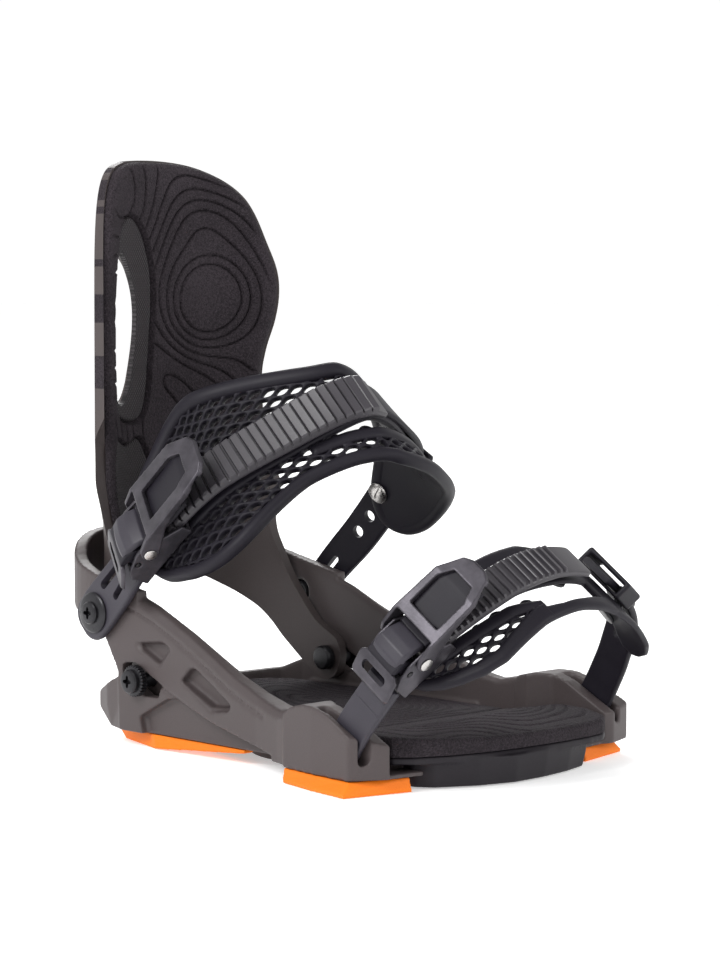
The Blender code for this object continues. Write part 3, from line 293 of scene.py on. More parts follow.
def sheet_faces(columns, rows):
    """Faces of a closed sheet: a grid of points on top, then the same grid below it."""
    across, count = columns + 1, (columns + 1) * (rows + 1)
    faces = []
    for row in range(rows):
        for column in range(columns):
            first = row * across + column
            quad = (first, first + 1, first + across + 1, first + across)
            faces.append(quad)
            faces.append(tuple(count + i for i in reversed(quad)))
        for first in (row * across, row * across + columns):
            faces.append((first, first + across, first + across + count, first + count))
    for column in range(columns):
        for first in (column, count - across + column):
            faces.append((first, first + 1, first + 1 + count, first + count))
    return faces


def bmesh_from(points, faces):
    mesh = bpy.data.meshes.new("built")
    mesh.from_pydata(np.asarray(points).tolist(), [], faces)
    bm = bmesh.new()
    bm.from_mesh(mesh)
    bpy.data.meshes.remove(mesh)
    return bm


def flat(value):
    return lambda a, b, inside: np.full(np.shape(a), value)


def on_strap(strap, lift):
    """Rows across a strap; lift(t) raises or sinks the whole row."""
    def place(v, t, h):
        origin, _, across, out = (np.array(part) for part in strap.frame(t))
        return (origin + np.outer(v, across) + np.outer(h + lift(t), out)) * MM
    return place


def on_level(y, x, h):
    return np.column_stack((np.full(len(y), x), y, h)) * MM


def highback_line(z):
    """Points and unit slopes of the highback's inner face at one height, from its middle out."""
    up = smoothstep(58, 112, z)
    back = mix(-118.0, -110.0, smoothstep(60, 250, z))
    a, b = np.array((back, 0)), np.array((back - 0.5, mix(36, 26, up)))
    c = np.array((mix(-108, -103, up), mix(48.8, 46, up)))
    d = np.array((mix(-46, -88, up), mix(48.7, 56, up)))
    q = np.linspace(0.0, 1.0, 121)[:, None]
    line = a * (1 - q) ** 3 + 3 * b * q * (1 - q) ** 2 + 3 * c * q * q * (1 - q) + d * q ** 3
    slope = (b - a) * (1 - q) ** 2 + 2 * (c - b) * q * (1 - q) + (d - c) * q * q
    return line, slope / np.linalg.norm(slope, axis=1)[:, None]


def on_highback(y, z, h):
    """Points h in front of the highback's inner face, where that face is y from the middle."""
    line, slope = highback_line(z)
    steps = np.arange(len(line))
    at = np.interp(np.abs(y), line[:, 1], steps)
    x = np.interp(at, steps, line[:, 0]) + np.interp(at, steps, slope[:, 1]) * h
    side = np.interp(at, steps, line[:, 1]) - np.interp(at, steps, slope[:, 0]) * h
    return np.column_stack((x, np.sign(y) * side, np.full(len(y), z))) * MM


def prism(outline, spot, low, high):
    """A closed prism: spot(p, q, depth) places an outline's point, in mm."""
    bm = bmesh.new()
    ends = [[bm.verts.new(Vector(spot(*p, depth)) * MM) for p in outline] for depth in (low, high)]
    caps = [bm.faces.new(ends[0]), bm.faces.new(list(reversed(ends[1])))]
    for index in range(len(outline)):
        after = (index + 1) % len(outline)
        bm.faces.new((ends[0][index], ends[0][after], ends[1][after], ends[1][index]))
    bmesh.ops.triangulate(bm, faces=caps)
    return bm


def stadium(length, radius, steps=20):
    """A slot's outline about the middle, long way first."""
    turns = [math.pi * (i / steps - 0.5) for i in range(steps + 1)]
    right = [(length / 2 + radius * math.cos(a), radius * math.sin(a)) for a in turns]
    return right + [(-x, -y) for x, y in right]


def in_frame(matrix):
    """Places a prism's points in a rigid frame given in metres."""
    return lambda p, q, depth: (matrix @ (Vector((p, q, depth)) * MM)) / MM


def carve(obj, cutters, operation="DIFFERENCE", smooth_angle=40.0):
    """Cuts the closed meshes out of the piece and drops them."""
    helpers = []
    for bm in cutters:
        bmesh.ops.recalc_face_normals(bm, faces=bm.faces)
        mesh = bpy.data.meshes.new("cutter")
        bm.to_mesh(mesh)
        bm.free()
        helper = bpy.data.objects.new("cutter", mesh)
        bpy.context.scene.collection.objects.link(helper)
        add_modifier(obj, "BOOLEAN", operation=operation, object=helper, solver="EXACT")
        helpers.append(helper)
    bpy.context.view_layer.update()
    mesh = bpy.data.meshes.new_from_object(obj.evaluated_get(bpy.context.evaluated_depsgraph_get()))
    obj.modifiers.clear()
    obj.data = mesh
    mesh.shade_smooth()
    mesh.set_sharp_from_angle(angle=math.radians(smooth_angle))
    for helper in helpers:
        bpy.data.objects.remove(helper)
    return obj


def band(strap, name, material, low, high, start, end, under, over, radius,
         columns=16, rows=80, relief=None, lift=lambda t: 0.0):
    """A rounded strap piece between two edges v(t), from under to over in height."""
    ts = np.linspace(start, end, 60)
    outline = [(reading(high, t), t) for t in ts] + [(reading(low, t), t) for t in reversed(ts)]
    middle, half = (under + over) / 2, (over - under) / 2

    def top(a, b, inside):
        height = middle + half * (0.12 + 0.88 * rounded(inside, radius))
        return height + (relief(a, b, inside) if relief else 0.0)

    def bottom(a, b, inside):
        return middle - half * (0.12 + 0.88 * rounded(inside, radius))

    bm = panel(outline, columns, rows, on_strap(strap, lift), top, bottom, 0.8)
    return new_piece(name, bm, material, 50.0)


def ladder(strap, name, material, middle, half, start, end, first, last, pitch, rise, base, shape,
           lift):
    """A ratchet strip: teeth across it from first to last, then a smooth tail.

    shape holds (phase, share of the rise) points along one tooth.
    """
    phases = [phase for phase, _ in shape[:-1]]
    levels = [start + 0.05]
    tooth = first
    while tooth < last:
        levels += [tooth + phase * pitch for phase in phases]
        tooth += pitch
    tail = list(np.linspace(tooth + 0.6, end - 0.05, 26))
    levels = np.array(levels + tail)
    ts = np.linspace(start, end, 90)
    edge_v = [half - 1.2 * (1 - rounded(np.array(min(t - start, end - t)), 2.5)) for t in ts]
    outline = ([(middle + v, t) for v, t in zip(edge_v, ts)]
               + [(middle - v, t) for v, t in zip(reversed(edge_v), reversed(ts))])

    def top(a, b, inside):
        soft = base * (0.35 + 0.65 * rounded(inside, 0.9))
        if not first <= b <= tooth:
            return soft
        tall = reading(shape, ((b - first) / pitch + 1e-6) % 1.0)
        return soft + rise * tall * smooth_edge(inside, 0.5, 1.1)

    bottom = flat(0.0)
    bm = panel(outline, 20, 0, on_strap(strap, lift), top, bottom, 0.75, levels)
    return new_piece(name, bm, material, 12.0)


def smooth_edge(distance, low, high):
    return np.clip((distance - low) / (high - low), 0.0, 1.0)


def swept_rim(strap, outline, profile, narrow):
    """A rim inside a closed outline of (v, t) points: profile holds (inward, h) points.

    narrow(t, v) scales the inward distance.
    """
    outline = [Vector((p[0], p[1])) for p in outline]
    area = sum(a.x * b.y - a.y * b.x for a, b in zip(outline, outline[1:] + outline[:1]))
    turn = 1.0 if area > 0 else -1.0
    points, faces = [], []
    count, around = len(outline), len(profile)
    for index, place in enumerate(outline):
        step = (outline[(index + 1) % count] - outline[index - 1]).normalized()
        inward = Vector((-step.y, step.x)) * turn
        for distance, height in profile:
            spot = place + inward * distance * narrow(place.y, place.x)
            points.append(strap.at(spot.y, spot.x, height))
        for step_index in range(around):
            after = (step_index + 1) % around
            next_ring = (index + 1) % count
            faces.append((index * around + step_index, index * around + after,
                          next_ring * around + after, next_ring * around + step_index))
    return bmesh_from([tuple(p) for p in points], faces)


def lattice(strap, outline, start, end, half_t, half_v, hole, margin, height, blocked):
    """A sheet of diamond cells with through holes, at least the margin inside an outline."""
    outline = np.array([tuple(p) for p in outline])
    bm = bmesh.new()
    ring = [(1, 0), (0.5, 0.5), (0, 1), (-0.5, 0.5), (-1, 0), (-0.5, -0.5), (0, -1), (0.5, -0.5)]
    low, high = outline[:, 0].min(), outline[:, 0].max()
    for column in range(int((end - start) / half_t) + 1):
        t = start + column * half_t
        for row in range(int((high - low) / half_v / 2) + 2):
            v = low + (2 * row + column % 2) * half_v
            if edge_distance(outline, np.array([v]), t)[0] < margin or blocked(t, v):
                continue
            outer = [bm.verts.new(strap.at(t + x * half_t, v + y * half_v, height))
                     for x, y in ring]
            inner = [bm.verts.new(strap.at(
                t + hole * half_t * math.cos(math.pi * k / 4),
                v + hole * half_v * math.sin(math.pi * k / 4), height)) for k in range(8)]
            for k in range(8):
                after = (k + 1) % 8
                bm.faces.new((outer[k], outer[after], inner[after], inner[k]))
    bmesh.ops.remove_doubles(bm, verts=bm.verts, dist=0.00005)
    return bm


def recast(node, name, body, slot, material, voxel, rounds, cutters=()):
    """A node's shape with its edges melted soft, as on a moulding."""
    obj = bpy.data.objects.new(name, NODES[node].data.copy())
    bpy.context.scene.collection.objects.link(obj)
    obj.data.materials.clear()
    obj.data.materials.append(material)
    add_modifier(obj, "WELD", merge_threshold=0.00001)
    carve(obj, cutters)
    add_modifier(obj, "REMESH", mode="VOXEL", voxel_size=voxel * MM, use_smooth_shade=True)
    add_modifier(obj, "SMOOTH", factor=0.5, iterations=rounds)
    carve(obj, (), smooth_angle=75.0)
    return settle(obj, body, slot, node)


def lathe(profile, steps=64, notch=None):
    """A closed turned solid about Z; notch(angle, r) takes something off a radius."""
    points, faces = [], []
    for r, z in profile[1:-1]:
        for step in range(steps):
            angle = 2 * math.pi * step / steps
            radius = (r - (notch(angle, r) if notch else 0.0)) * MM
            points.append((radius * math.cos(angle), radius * math.sin(angle), z * MM))
    rings = len(profile) - 2
    first, last = len(points), len(points) + 1
    points += [(0, 0, profile[0][1] * MM), (0, 0, profile[-1][1] * MM)]
    for step in range(steps):
        after = (step + 1) % steps
        for ring in range(rings - 1):
            faces.append((ring * steps + step, ring * steps + after,
                          (ring + 1) * steps + after, (ring + 1) * steps + step))
        faces.append((first, step, after))
        faces.append((last, (rings - 1) * steps + after, (rings - 1) * steps + step))
    return bmesh_from(points, faces)


def outward(x, z, side):
    """A frame with Z out of the binding's side through (x, z)."""
    turned = Matrix(((1, 0, 0), (0, 0, side), (0, -side, 0))).to_4x4()
    turned.translation = Vector((x, 0, z)) * MM
    return turned


# ---- carried-over CAD nodes

SHARP_ANGLE = 35.0


def edge_smoothing():
    """A node group that smooths a mesh but keeps edges over the angle sharp."""
    group = bpy.data.node_groups.new("smooth_by_edge_angle", "GeometryNodeTree")
    for way in ("INPUT", "OUTPUT"):
        group.interface.new_socket("Geometry", in_out=way, socket_type="NodeSocketGeometry")
    start, end, faces, angle, over, sharp = [group.nodes.new(kind) for kind in (
        "NodeGroupInput", "NodeGroupOutput", "GeometryNodeSetShadeSmooth",
        "GeometryNodeInputMeshEdgeAngle", "FunctionNodeCompare", "GeometryNodeSetShadeSmooth")]
    faces.domain, sharp.domain = "FACE", "EDGE"
    over.data_type, over.operation = "FLOAT", "GREATER_THAN"
    over.inputs["B"].default_value = math.radians(SHARP_ANGLE)
    sharp.inputs["Shade Smooth"].default_value = False
    for source, socket in (
            (start.outputs[0], faces.inputs["Geometry"]),
            (angle.outputs["Unsigned Angle"], over.inputs["A"]),
            (faces.outputs[0], sharp.inputs["Geometry"]),
            (over.outputs[0], sharp.inputs["Selection"]), (sharp.outputs[0], end.inputs[0])):
        group.links.new(source, socket)
    return group


SMOOTHING = edge_smoothing()
BEVEL_ANGLE = 34.0


def dress(node, material, width):
    """A CAD node as it is, with a finish, rounded edges and smooth shading."""
    obj = NODES[node]
    obj.data.materials.clear()
    obj.data.materials.append(material)
    for name in ("custom_normal", "sharp_face", "sharp_edge"):
        found = obj.data.attributes.get(name)
        if found:
            obj.data.attributes.remove(found)
    add_modifier(obj, "WELD", merge_threshold=0.00001)
    add_modifier(obj, "BEVEL", width=width * MM, segments=2, limit_method="ANGLE",
                 angle_limit=math.radians(BEVEL_ANGLE), use_clamp_overlap=True)
    add_modifier(obj, "NODES", node_group=SMOOTHING)


# ---- strap surfaces

class Strap:
    """A strap's middle surface: t runs along it, v across it and h out of it, in mm."""

    def __init__(self, path, base, tilt, lean):
        self.points = curve_points(path, 16)
        self.lengths = [0.0]
        for first, second in zip(self.points, self.points[1:]):
            self.lengths.append(self.lengths[-1] + (second - first).length)
        angle = math.radians(tilt)
        self.base = Vector(base)
        self.forward = Vector((math.cos(angle), 0, math.sin(angle)))
        self.normal = Vector((-math.sin(angle), 0, math.cos(angle)))
        self.lean = lean
        self.frames = {}

    def on_path(self, t):
        index = min(len(self.points) - 2, max(0, int(np.searchsorted(self.lengths, t)) - 1))
        start, end = self.lengths[index], self.lengths[index + 1]
        return self.points[index].lerp(self.points[index + 1], (t - start) / (end - start))

    def frame(self, t):
        key = round(t, 4)
        if key not in self.frames:
            place = self.on_path(t)
            step = (self.on_path(t + 1.5) - self.on_path(t - 1.5)).normalized()
            along = self.forward * step.x + Vector((0, step.y, 0))
            across = (self.normal + Vector((0, self.lean(place.x, place.y), 0))).normalized()
            out = along.cross(across).normalized()
            origin = self.base + self.forward * place.x + Vector((0, place.y, 0))
            self.frames[key] = (origin, along, out.cross(along).normalized(), out)
        return self.frames[key]

    def at(self, t, v, h):
        """A point in metres."""
        origin, _, across, out = self.frame(t)
        return (origin + across * v + out * h) * MM

    def matrix(self, t, v):
        """A rigid frame in metres there: X along, Y across, Z out."""
        origin, along, across, out = self.frame(t)
        turned = Matrix((along, across, out)).transposed().to_4x4()
        turned.translation = (origin + across * v) * MM
        return turned


ANKLE_PATH = [
    (-10, -62), (0, -62), (30, -62), (60, -59), (88, -50), (112, -27.5), (131, -4), (132.5, 11),
    (121.5, 31.5), (100, 52), (72, 62), (44, 64.5), (20, 62.6), (0, 62), (-10, 62)]
TOE_PATH = [
    (-8, -70), (0, -70), (14, -69), (30, -66), (50, -53), (70, -30), (77, -12), (77, 4), (73, 19),
    (63.5, 38), (46, 57.5), (25, 66), (10, 69), (0, 70), (-8, 70)]
ANKLE = Strap(
    ANKLE_PATH, (-86.0, 0, 55.6), 45.0,
    lambda forward, y: 0.34 * smoothstep(5, 60, forward) * max(-1.0, min(1.0, -y / 50.0)))
TOE = Strap(TOE_PATH, (78.6, 0, 24.0), 56.0, lambda forward, y: 0.0)
ANKLE_MIDDLE = -1.0
TOE_MIDDLE = -1.4

# ---- camera, light and floor

AZIMUTH = math.radians(46.232)
ELEVATION = math.radians(4.042)
CAMERA_DISTANCE = 1.2
CAMERA_AIM_SIDE = 0.00702
CAMERA_AIM_HEIGHT = 0.11312
CAMERA_LENS = 108.16
CAMERA_SENSOR = 36.0


def make_camera():
    back = Vector((math.sin(AZIMUTH) * math.cos(ELEVATION),
                   -math.cos(AZIMUTH) * math.cos(ELEVATION), math.sin(ELEVATION)))
    right = Vector((math.cos(AZIMUTH), math.sin(AZIMUTH), 0))
    turned = Matrix((right, back.cross(right), back)).transposed().to_4x4()
    aim = right * CAMERA_AIM_SIDE + Vector((0, 0, CAMERA_AIM_HEIGHT))
    turned.translation = aim + back * CAMERA_DISTANCE
    data = bpy.data.cameras.new("camera")
    data.lens = CAMERA_LENS
    data.sensor_width = CAMERA_SENSOR
    data.clip_start = 0.01
    data.clip_end = 100.0
    camera = bpy.data.objects.new("camera", data)
    camera.matrix_world = turned
    bpy.context.scene.collection.objects.link(camera)
    bpy.context.scene.camera = camera


def make_light(name, place, size, power):
    data = bpy.data.lights.new(name, "AREA")
    data.shape = "DISK"
    data.size = size
    data.energy = power
    light = bpy.data.objects.new(name, data)
    light.location = place
    aim = Vector((0, 0, 0.1)) - Vector(place)
    light.rotation_euler = aim.to_track_quat("-Z", "Y").to_euler()
    bpy.context.scene.collection.objects.link(light)


def make_stage():
    bm = bmesh.new()
    bmesh.ops.create_circle(bm, cap_ends=True, segments=96, radius=20.0)
    floor = new_piece("floor", bm, moulded(
        "pale_floor", (0.86, 0.86, 0.86), (0.90, 0.90, 0.90), 0.85, 300.0, 0.00002, 2.0,
        specular=0.2))
    floor.location.z = -0.0002
    glow = floor.data.materials[0].node_tree.nodes["Principled BSDF"]
    glow.inputs["Emission Color"].default_value = (1.0, 1.0, 1.0, 1.0)
    glow.inputs["Emission Strength"].default_value = 0.42
    world = bpy.data.worlds.new("studio")
    bpy.context.scene.world = world
    world.use_nodes = True
    tree = world.node_tree
    background = tree.nodes["Background"]
    place = tree.nodes.new("ShaderNodeTexCoord")
    split = tree.nodes.new("ShaderNodeSeparateXYZ")
    fall = tree.nodes.new("ShaderNodeMapRange")
    fall.interpolation_type = "SMOOTHSTEP"
    for socket, value in (("From Min", 0.3), ("From Max", 0.6), ("To Min", 1.02), ("To Max", 0.55)):
        fall.inputs[socket].default_value = value
    tree.links.new(place.outputs["Generated"], split.inputs[0])
    tree.links.new(split.outputs["Z"], fall.inputs["Value"])
    tree.links.new(fall.outputs["Result"], background.inputs["Strength"])
    background.inputs["Color"].default_value = (1.0, 1.0, 1.0, 1.0)
    make_light("key", (0.0, -1.6, 1.4), 1.0, 34.0)
    make_light("side", (1.6, 0.5, 0.9), 0.9, 9.0)
    make_light("back", (-1.3, 0.9, 1.2), 0.9, 16.0)
    bpy.context.scene.view_settings.view_transform = "Standard"


make_camera()
make_stage()

# ---- highback

def smooth_outline(points, steps=5):
    return [(p.x, p.y) for p in curve_points([(a, b, 0.0) for a, b in points], steps, True)]


def middle_of(outline):
    return (sum(p[0] for p in outline) / len(outline),
            sum(p[1] for p in outline) / len(outline))


def smooth_line(points, steps=6):
    return [(p.x, p.y) for p in curve_points([(a, b, 0.0) for a, b in points], steps)]


PIVOT = (-61.5, 28.7)
ANKLE_BOLT = (-86.0, 55.6)
TOE_BOLT = (76.9, 21.5)
SHELL_THICKNESS = 4.0
SHELL_BOTTOM = 12.0
SHELL_TOP = 256.0
FOAM_EDGE_FROM = 146.0
FOAM_EDGE_CROWN = 238.0
WING_CURVE = smooth_line([
    (-118, 66.5), (-113, 59.6), (-106, 53.7), (-99, 48.4), (-93, 42.5), (-86, 34.7), (-71, 22.0),
    (-63, 18.6), (-56.5, 21.5), (-53.6, 28), (-54, 33.5), (-57, 38), (-69, 45), (-81.6, 60),
    (-89.7, 73.5), (-95.5, 86), (-97.5, 104), (-97, 125), (-88, 140)])
WING_SIDE = [(-140, 69), *WING_CURVE, (-84, 150), (-84, 260), (-140, 260)]
REAR_CURVE = smooth_line([
    (-55, 112), (-54.8, 150), (-54.5, 190), (-53, 211), (-48.5, 230), (-41, 242), (-30, 246.8),
    (-16, 248), (0, 247.5), (14, 245.3), (27, 240.5), (36, 234), (41.5, 225.5), (46, 213),
    (49.5, 201), (50.3, 190), (49, 178), (45.8, 164), (44.5, 150), (46, 122)])
HIGHBACK_REAR = [(-70, 10), (-70, 100), *REAR_CURVE, (55, 102), (70, 90), (70, 10)]
HIGHBACK_WINDOW = smooth_outline([
    (-35.5, 207.5), (-39.4, 205.5), (-42.6, 199), (-45.0, 186), (-45.3, 168), (-44.2, 156),
    (-41.6, 147), (-37, 142), (-32, 143), (-28.2, 149.5), (-26.2, 157), (-24.4, 167), (-23.7, 176),
    (-24.2, 185), (-26.4, 193.5), (-30.8, 202)])
PAD_EDGE = smooth_outline([
    (-30, 72), (-43, 84), (-47.0, 104), (-49.4, 130), (-52.2, 165), (-52.6, 205), (-48.4, 227.6),
    (-40.4, 241), (-29.6, 246.2), (-15, 247.4), (0, 246.9), (14, 244.7), (26.6, 239.9),
    (35.4, 233.4), (40.9, 225), (45.4, 212.7), (48.8, 200.8), (49.6, 190), (48.3, 178.2),
    (45.1, 164.4), (43.8, 150), (43.6, 122), (42, 100), (34, 84), (18, 73), (-6, 70.5)])
WINDOW_PANEL = smooth_outline([
    (-30.5, 224.5), (-37, 221.5), (-41, 215), (-44.5, 203), (-46.6, 188), (-47.0, 168),
    (-46.2, 150), (-43.4, 140.5), (-37.5, 135), (-25, 133.4), (-18, 136.8), (-14.8, 146),
    (-13.9, 159), (-13.2, 172), (-12.6, 185), (-14, 200), (-18.8, 213.5), (-24, 221)])
LOWER_PANEL = smooth_outline([
    (-44.5, 127), (-32, 125), (-21, 127.5), (-12, 117), (-3, 100), (-2, 86), (-14, 78), (-30, 77),
    (-41, 88), (-45, 106)])


def rear_prism(outline):
    """A prism through the highback, from an outline of (y, z) points."""
    return prism(outline, lambda y, z, depth: (depth, y, z), -160, -40)


def side_prism(outline, low, high):
    return prism(outline, lambda x, z, depth: (x, depth, z), low, high)


def make_shell():
    columns, rows = 64, 92
    points = []
    for inset in (0.0, -SHELL_THICKNESS):
        for row in range(rows + 1):
            z = mix(SHELL_BOTTOM, SHELL_TOP, row / rows)
            line, slope = highback_line(z)
            for column in range(columns + 1):
                u = 2 * column / columns - 1
                step = abs(u) * (len(line) - 1)
                x = np.interp(step, range(len(line)), line[:, 0] + slope[:, 1] * inset)
                y = np.interp(step, range(len(line)), line[:, 1] - slope[:, 0] * inset)
                points.append(Vector((x, y if u > 0 else -y, z)) * MM)
    sheet = bmesh_from([tuple(p) for p in points], sheet_faces(columns, rows))
    shell = new_piece("highback_shell", sheet, SHELL)
    carve(shell, [side_prism(WING_SIDE, -90, 90)], "INTERSECT")
    carve(shell, [rear_prism(HIGHBACK_REAR)], "INTERSECT")
    holes = [prism(stadium(0, 3.4), in_frame(outward(*PIVOT, side)), 40, 70)
             for side in (-1, 1)]
    opening = [(y + 5.0 * smoothstep(-40, -30, y), z) for y, z in HIGHBACK_WINDOW]
    carve(shell, [rear_prism(opening), *holes], smooth_angle=35.0)
    shell.data.materials.append(EVA)  # the cut edge beside the pad has the foam's finish
    centers = np.array([polygon.center for polygon in shell.data.polygons]) / MM
    along = np.linspace(0, len(REAR_CURVE) - 1, 1200)
    rim = np.array([np.interp(along, range(len(REAR_CURVE)), part) for part in zip(*REAR_CURVE)])
    away = np.hypot(centers[:, 1:2] - rim[0], centers[:, 2:3] - rim[1]).min(axis=1)
    y, z = centers[:, 1], centers[:, 2]
    trim = (away < 0.05) & (z > FOAM_EDGE_FROM) & ((y < 0) | (z > FOAM_EDGE_CROWN))
    shell.data.polygons.foreach_set("material_index", trim.astype(np.int32))
    add_modifier(shell, "BEVEL", width=0.0009, segments=3, limit_method="ANGLE",
                 angle_limit=math.radians(50.0), use_clamp_overlap=True)
    settle(shell, "highback", "shell_nylon", "highback")


def line_distance(field, a, b):
    """Distance in mm to the nearest line where the field crosses a whole number."""
    value = field(a, b)
    slope = np.hypot(field(a + 0.2, b) - field(a - 0.2, b),
                     field(a, b + 0.2) - field(a, b - 0.2)) / 0.4
    return np.abs((value + 0.5) % 1.0 - 0.5) / np.maximum(slope, 0.02)


OVAL_CENTER = (19.0, 188.0)
OVAL_RADIUS = 15.0


def back_field(y, z):
    """Nested ovals high on the back that loosen into slow waves."""
    near = np.hypot((y - OVAL_CENTER[0]) / 1.08, z - OVAL_CENTER[1])
    waves = 1.3 * np.sin(y / 13.0 + z / 22.0) + 0.9 * np.cos(z / 13.0 - y / 24.0)
    loose = np.clip((near - 16.0) / 24.0, 0.0, 1.0)
    far = 5.6 * np.log1p(np.maximum(near - OVAL_RADIUS, 0.0) / 19.0)
    ovals = np.where(near < OVAL_RADIUS, (near - OVAL_RADIUS) / 32.0, far)
    return ovals + waves * loose * loose * (3 - 2 * loose)


GROOVE_WIDTH = 0.42
GROOVE_DEPTH = 1.5


def make_highback_pad():
    def top(y, z, inside):
        crown = 0.9 + 3.9 * rounded(inside, 4.2)
        groove = np.exp(-(line_distance(back_field, y, z) / GROOVE_WIDTH) ** 2)
        cut = GROOVE_DEPTH * groove * smooth_edge(inside, 1.0, 4.0)
        recess = np.zeros(np.shape(y))
        for outline in (WINDOW_PANEL, LOWER_PANEL):
            recess = np.maximum(recess, smooth_edge(edge_distance(outline, y, z), -0.5, 0.5))
        return np.where(recess > 0, mix(crown - cut * (1 - recess), 1.4, recess), crown - cut)

    sheet = panel(PAD_EDGE, 190, 330, on_highback, top, flat(0.15), 0.25)
    pad = new_piece("highback_foam", sheet, EVA, 55.0)
    opening = [(y - 0.2 + 1.6 * smoothstep(-40, -30, y), z) for y, z in HIGHBACK_WINDOW]
    carve(pad, [rear_prism(opening)], smooth_angle=55.0)
    settle(pad, "highback", "foam_pad", "highback_pad")

    def raised(y, z, inside):
        return 1.1 + 2.6 * rounded(inside, 1.6)

    for name, outline, nodes in (("window_panel", WINDOW_PANEL, ["highback_insert"]),
                                 ("lower_panel", LOWER_PANEL, [])):
        my, mz = middle_of(outline)
        smaller = [(my + (y - my) * 0.93, mz + (z - mz) * 0.98) for y, z in outline]
        sheet = panel(smaller, 48, 110, on_highback, raised, flat(0.9), 0.3)
        piece = new_piece(name, sheet, KNIT, 55.0)
        if nodes:
            carve(piece, [rear_prism(HIGHBACK_WINDOW)], smooth_angle=55.0)
        settle(piece, "highback", "mesh_insert", *nodes)


make_shell()
make_highback_pad()

# ---- footbed and ramp pads

FLOOR = 10.3
SOLE = 17.5


def foot_field(y, x):
    """Tight contour lines that drift round two centres under the foot."""
    first = np.hypot((x + 30.0) / 1.5, y - 12.0)
    second = np.hypot((x - 70.0) / 1.1, y + 14.0)
    return first / 4.2 + 1.6 * np.sin(second / 13.0) + 0.8 * np.cos(x / 11.0 + y / 9.0)


def tread(y, x, inside):
    """Depth of the contour lines under the foot, none beside the pad's edge."""
    lines = np.exp(-(line_distance(foot_field, y, x) / 0.75) ** 2)
    return 0.7 * lines * smooth_edge(inside, 2.0, 3.5)


def make_footbed():
    half = [(-98, 0), (-96.5, -26), (-91.5, -39), (-83, -46.6), (-76, -48), (-54, -48),
            (-48, -49.7), (46, -49.7)]
    outline = [(y, x) for x, y in half] + [(-y, x) for x, y in reversed(half[1:])]

    def top(y, x, inside):
        return SOLE - 1.9 * (1 - rounded(inside, 2.2)) - tread(y, x, inside)

    pad = new_piece("footbed_foam", panel(outline, 130, 190, on_level, top, flat(FLOOR), 0.2), EVA,
                    55.0)
    settle(pad, "base", "foam_pad", "footbed")


def make_ramp_pad():
    front = [(78, -56.5), (86, -55.8), (92, -49), (98.5, -34), (102.5, -18), (104.5, 0), (105, 20),
             (104, 38), (102, 48.5), (97, 55), (86, 57), (78, 57)]
    rear = [(47.2, -49.4), (58, -50.8), (70, -55.4)]
    outline = [(y, x) for x, y in [*rear, *front, (70, 55.4), (58, 50.8), (47.2, 49.4)]]
    rise = [(50, 0.3), (72, 4.0), (86, 3.6), (106, 1.2)]

    def top(y, x, inside):
        crown = SOLE + reading(rise, x) - 1.9 * (1 - rounded(inside, 2.2))
        return crown - tread(y, x, inside)

    pad = new_piece("ramp_foam", panel(outline, 150, 90, on_level, top, flat(13.4), 0.2), EVA, 55.0)
    settle(pad, "ramp", "foam_pad", "toe_ramp_pad")


make_footbed()
make_ramp_pad()

# ---- ankle strap

ANKLE_HIGH = [
    (45, 11), (47, 20), (54, 33), (60, 39), (67, 43), (81, 49.5), (95, 52), (106, 50), (115, 46.3),
    (132, 38), (148, 29.5), (160, 24), (172, 21.3), (182, 21), (192, 20.5), (205, 17.5), (220, 14),
    (245, 10), (262, 6), (271, 1), (275.5, -6)]
ANKLE_LOW = [
    (45, -5), (49, -13), (55, -21), (65, -29), (70, -32.5), (78, -36.5), (87, -38.8), (98, -37.6),
    (113.5, -31.2), (125.5, -27.4), (134, -26.4), (148.5, -27.6), (158.5, -29.8), (170, -33),
    (182, -35.3), (205, -36), (230, -34), (248, -31), (262, -27), (271, -21), (275.5, -13)]
ANKLE_GAP_HIGH = [(146, -9.6), (156, -9), (180, -8), (205, -10)]
ANKLE_GAP_LOW = [(146, -10.4), (156, -11.8), (168, -14.6), (190, -15.2), (205, -13)]
ANKLE_RIM = [
    (0.0, -6.3), (0.3, -4.9), (1.2, -3.8), (3.0, -3.2), (6.4, -3.1), (8.2, -3.8), (9.2, -5.0),
    (9.5, -6.4), (9.0, -7.6), (7.6, -8.3), (3.4, -8.5), (1.3, -8.1), (0.3, -7.3)]


def closed_edge(high, low):
    return smooth_outline([(v, t) for t, v in high] + [(v, t) for t, v in reversed(low)])


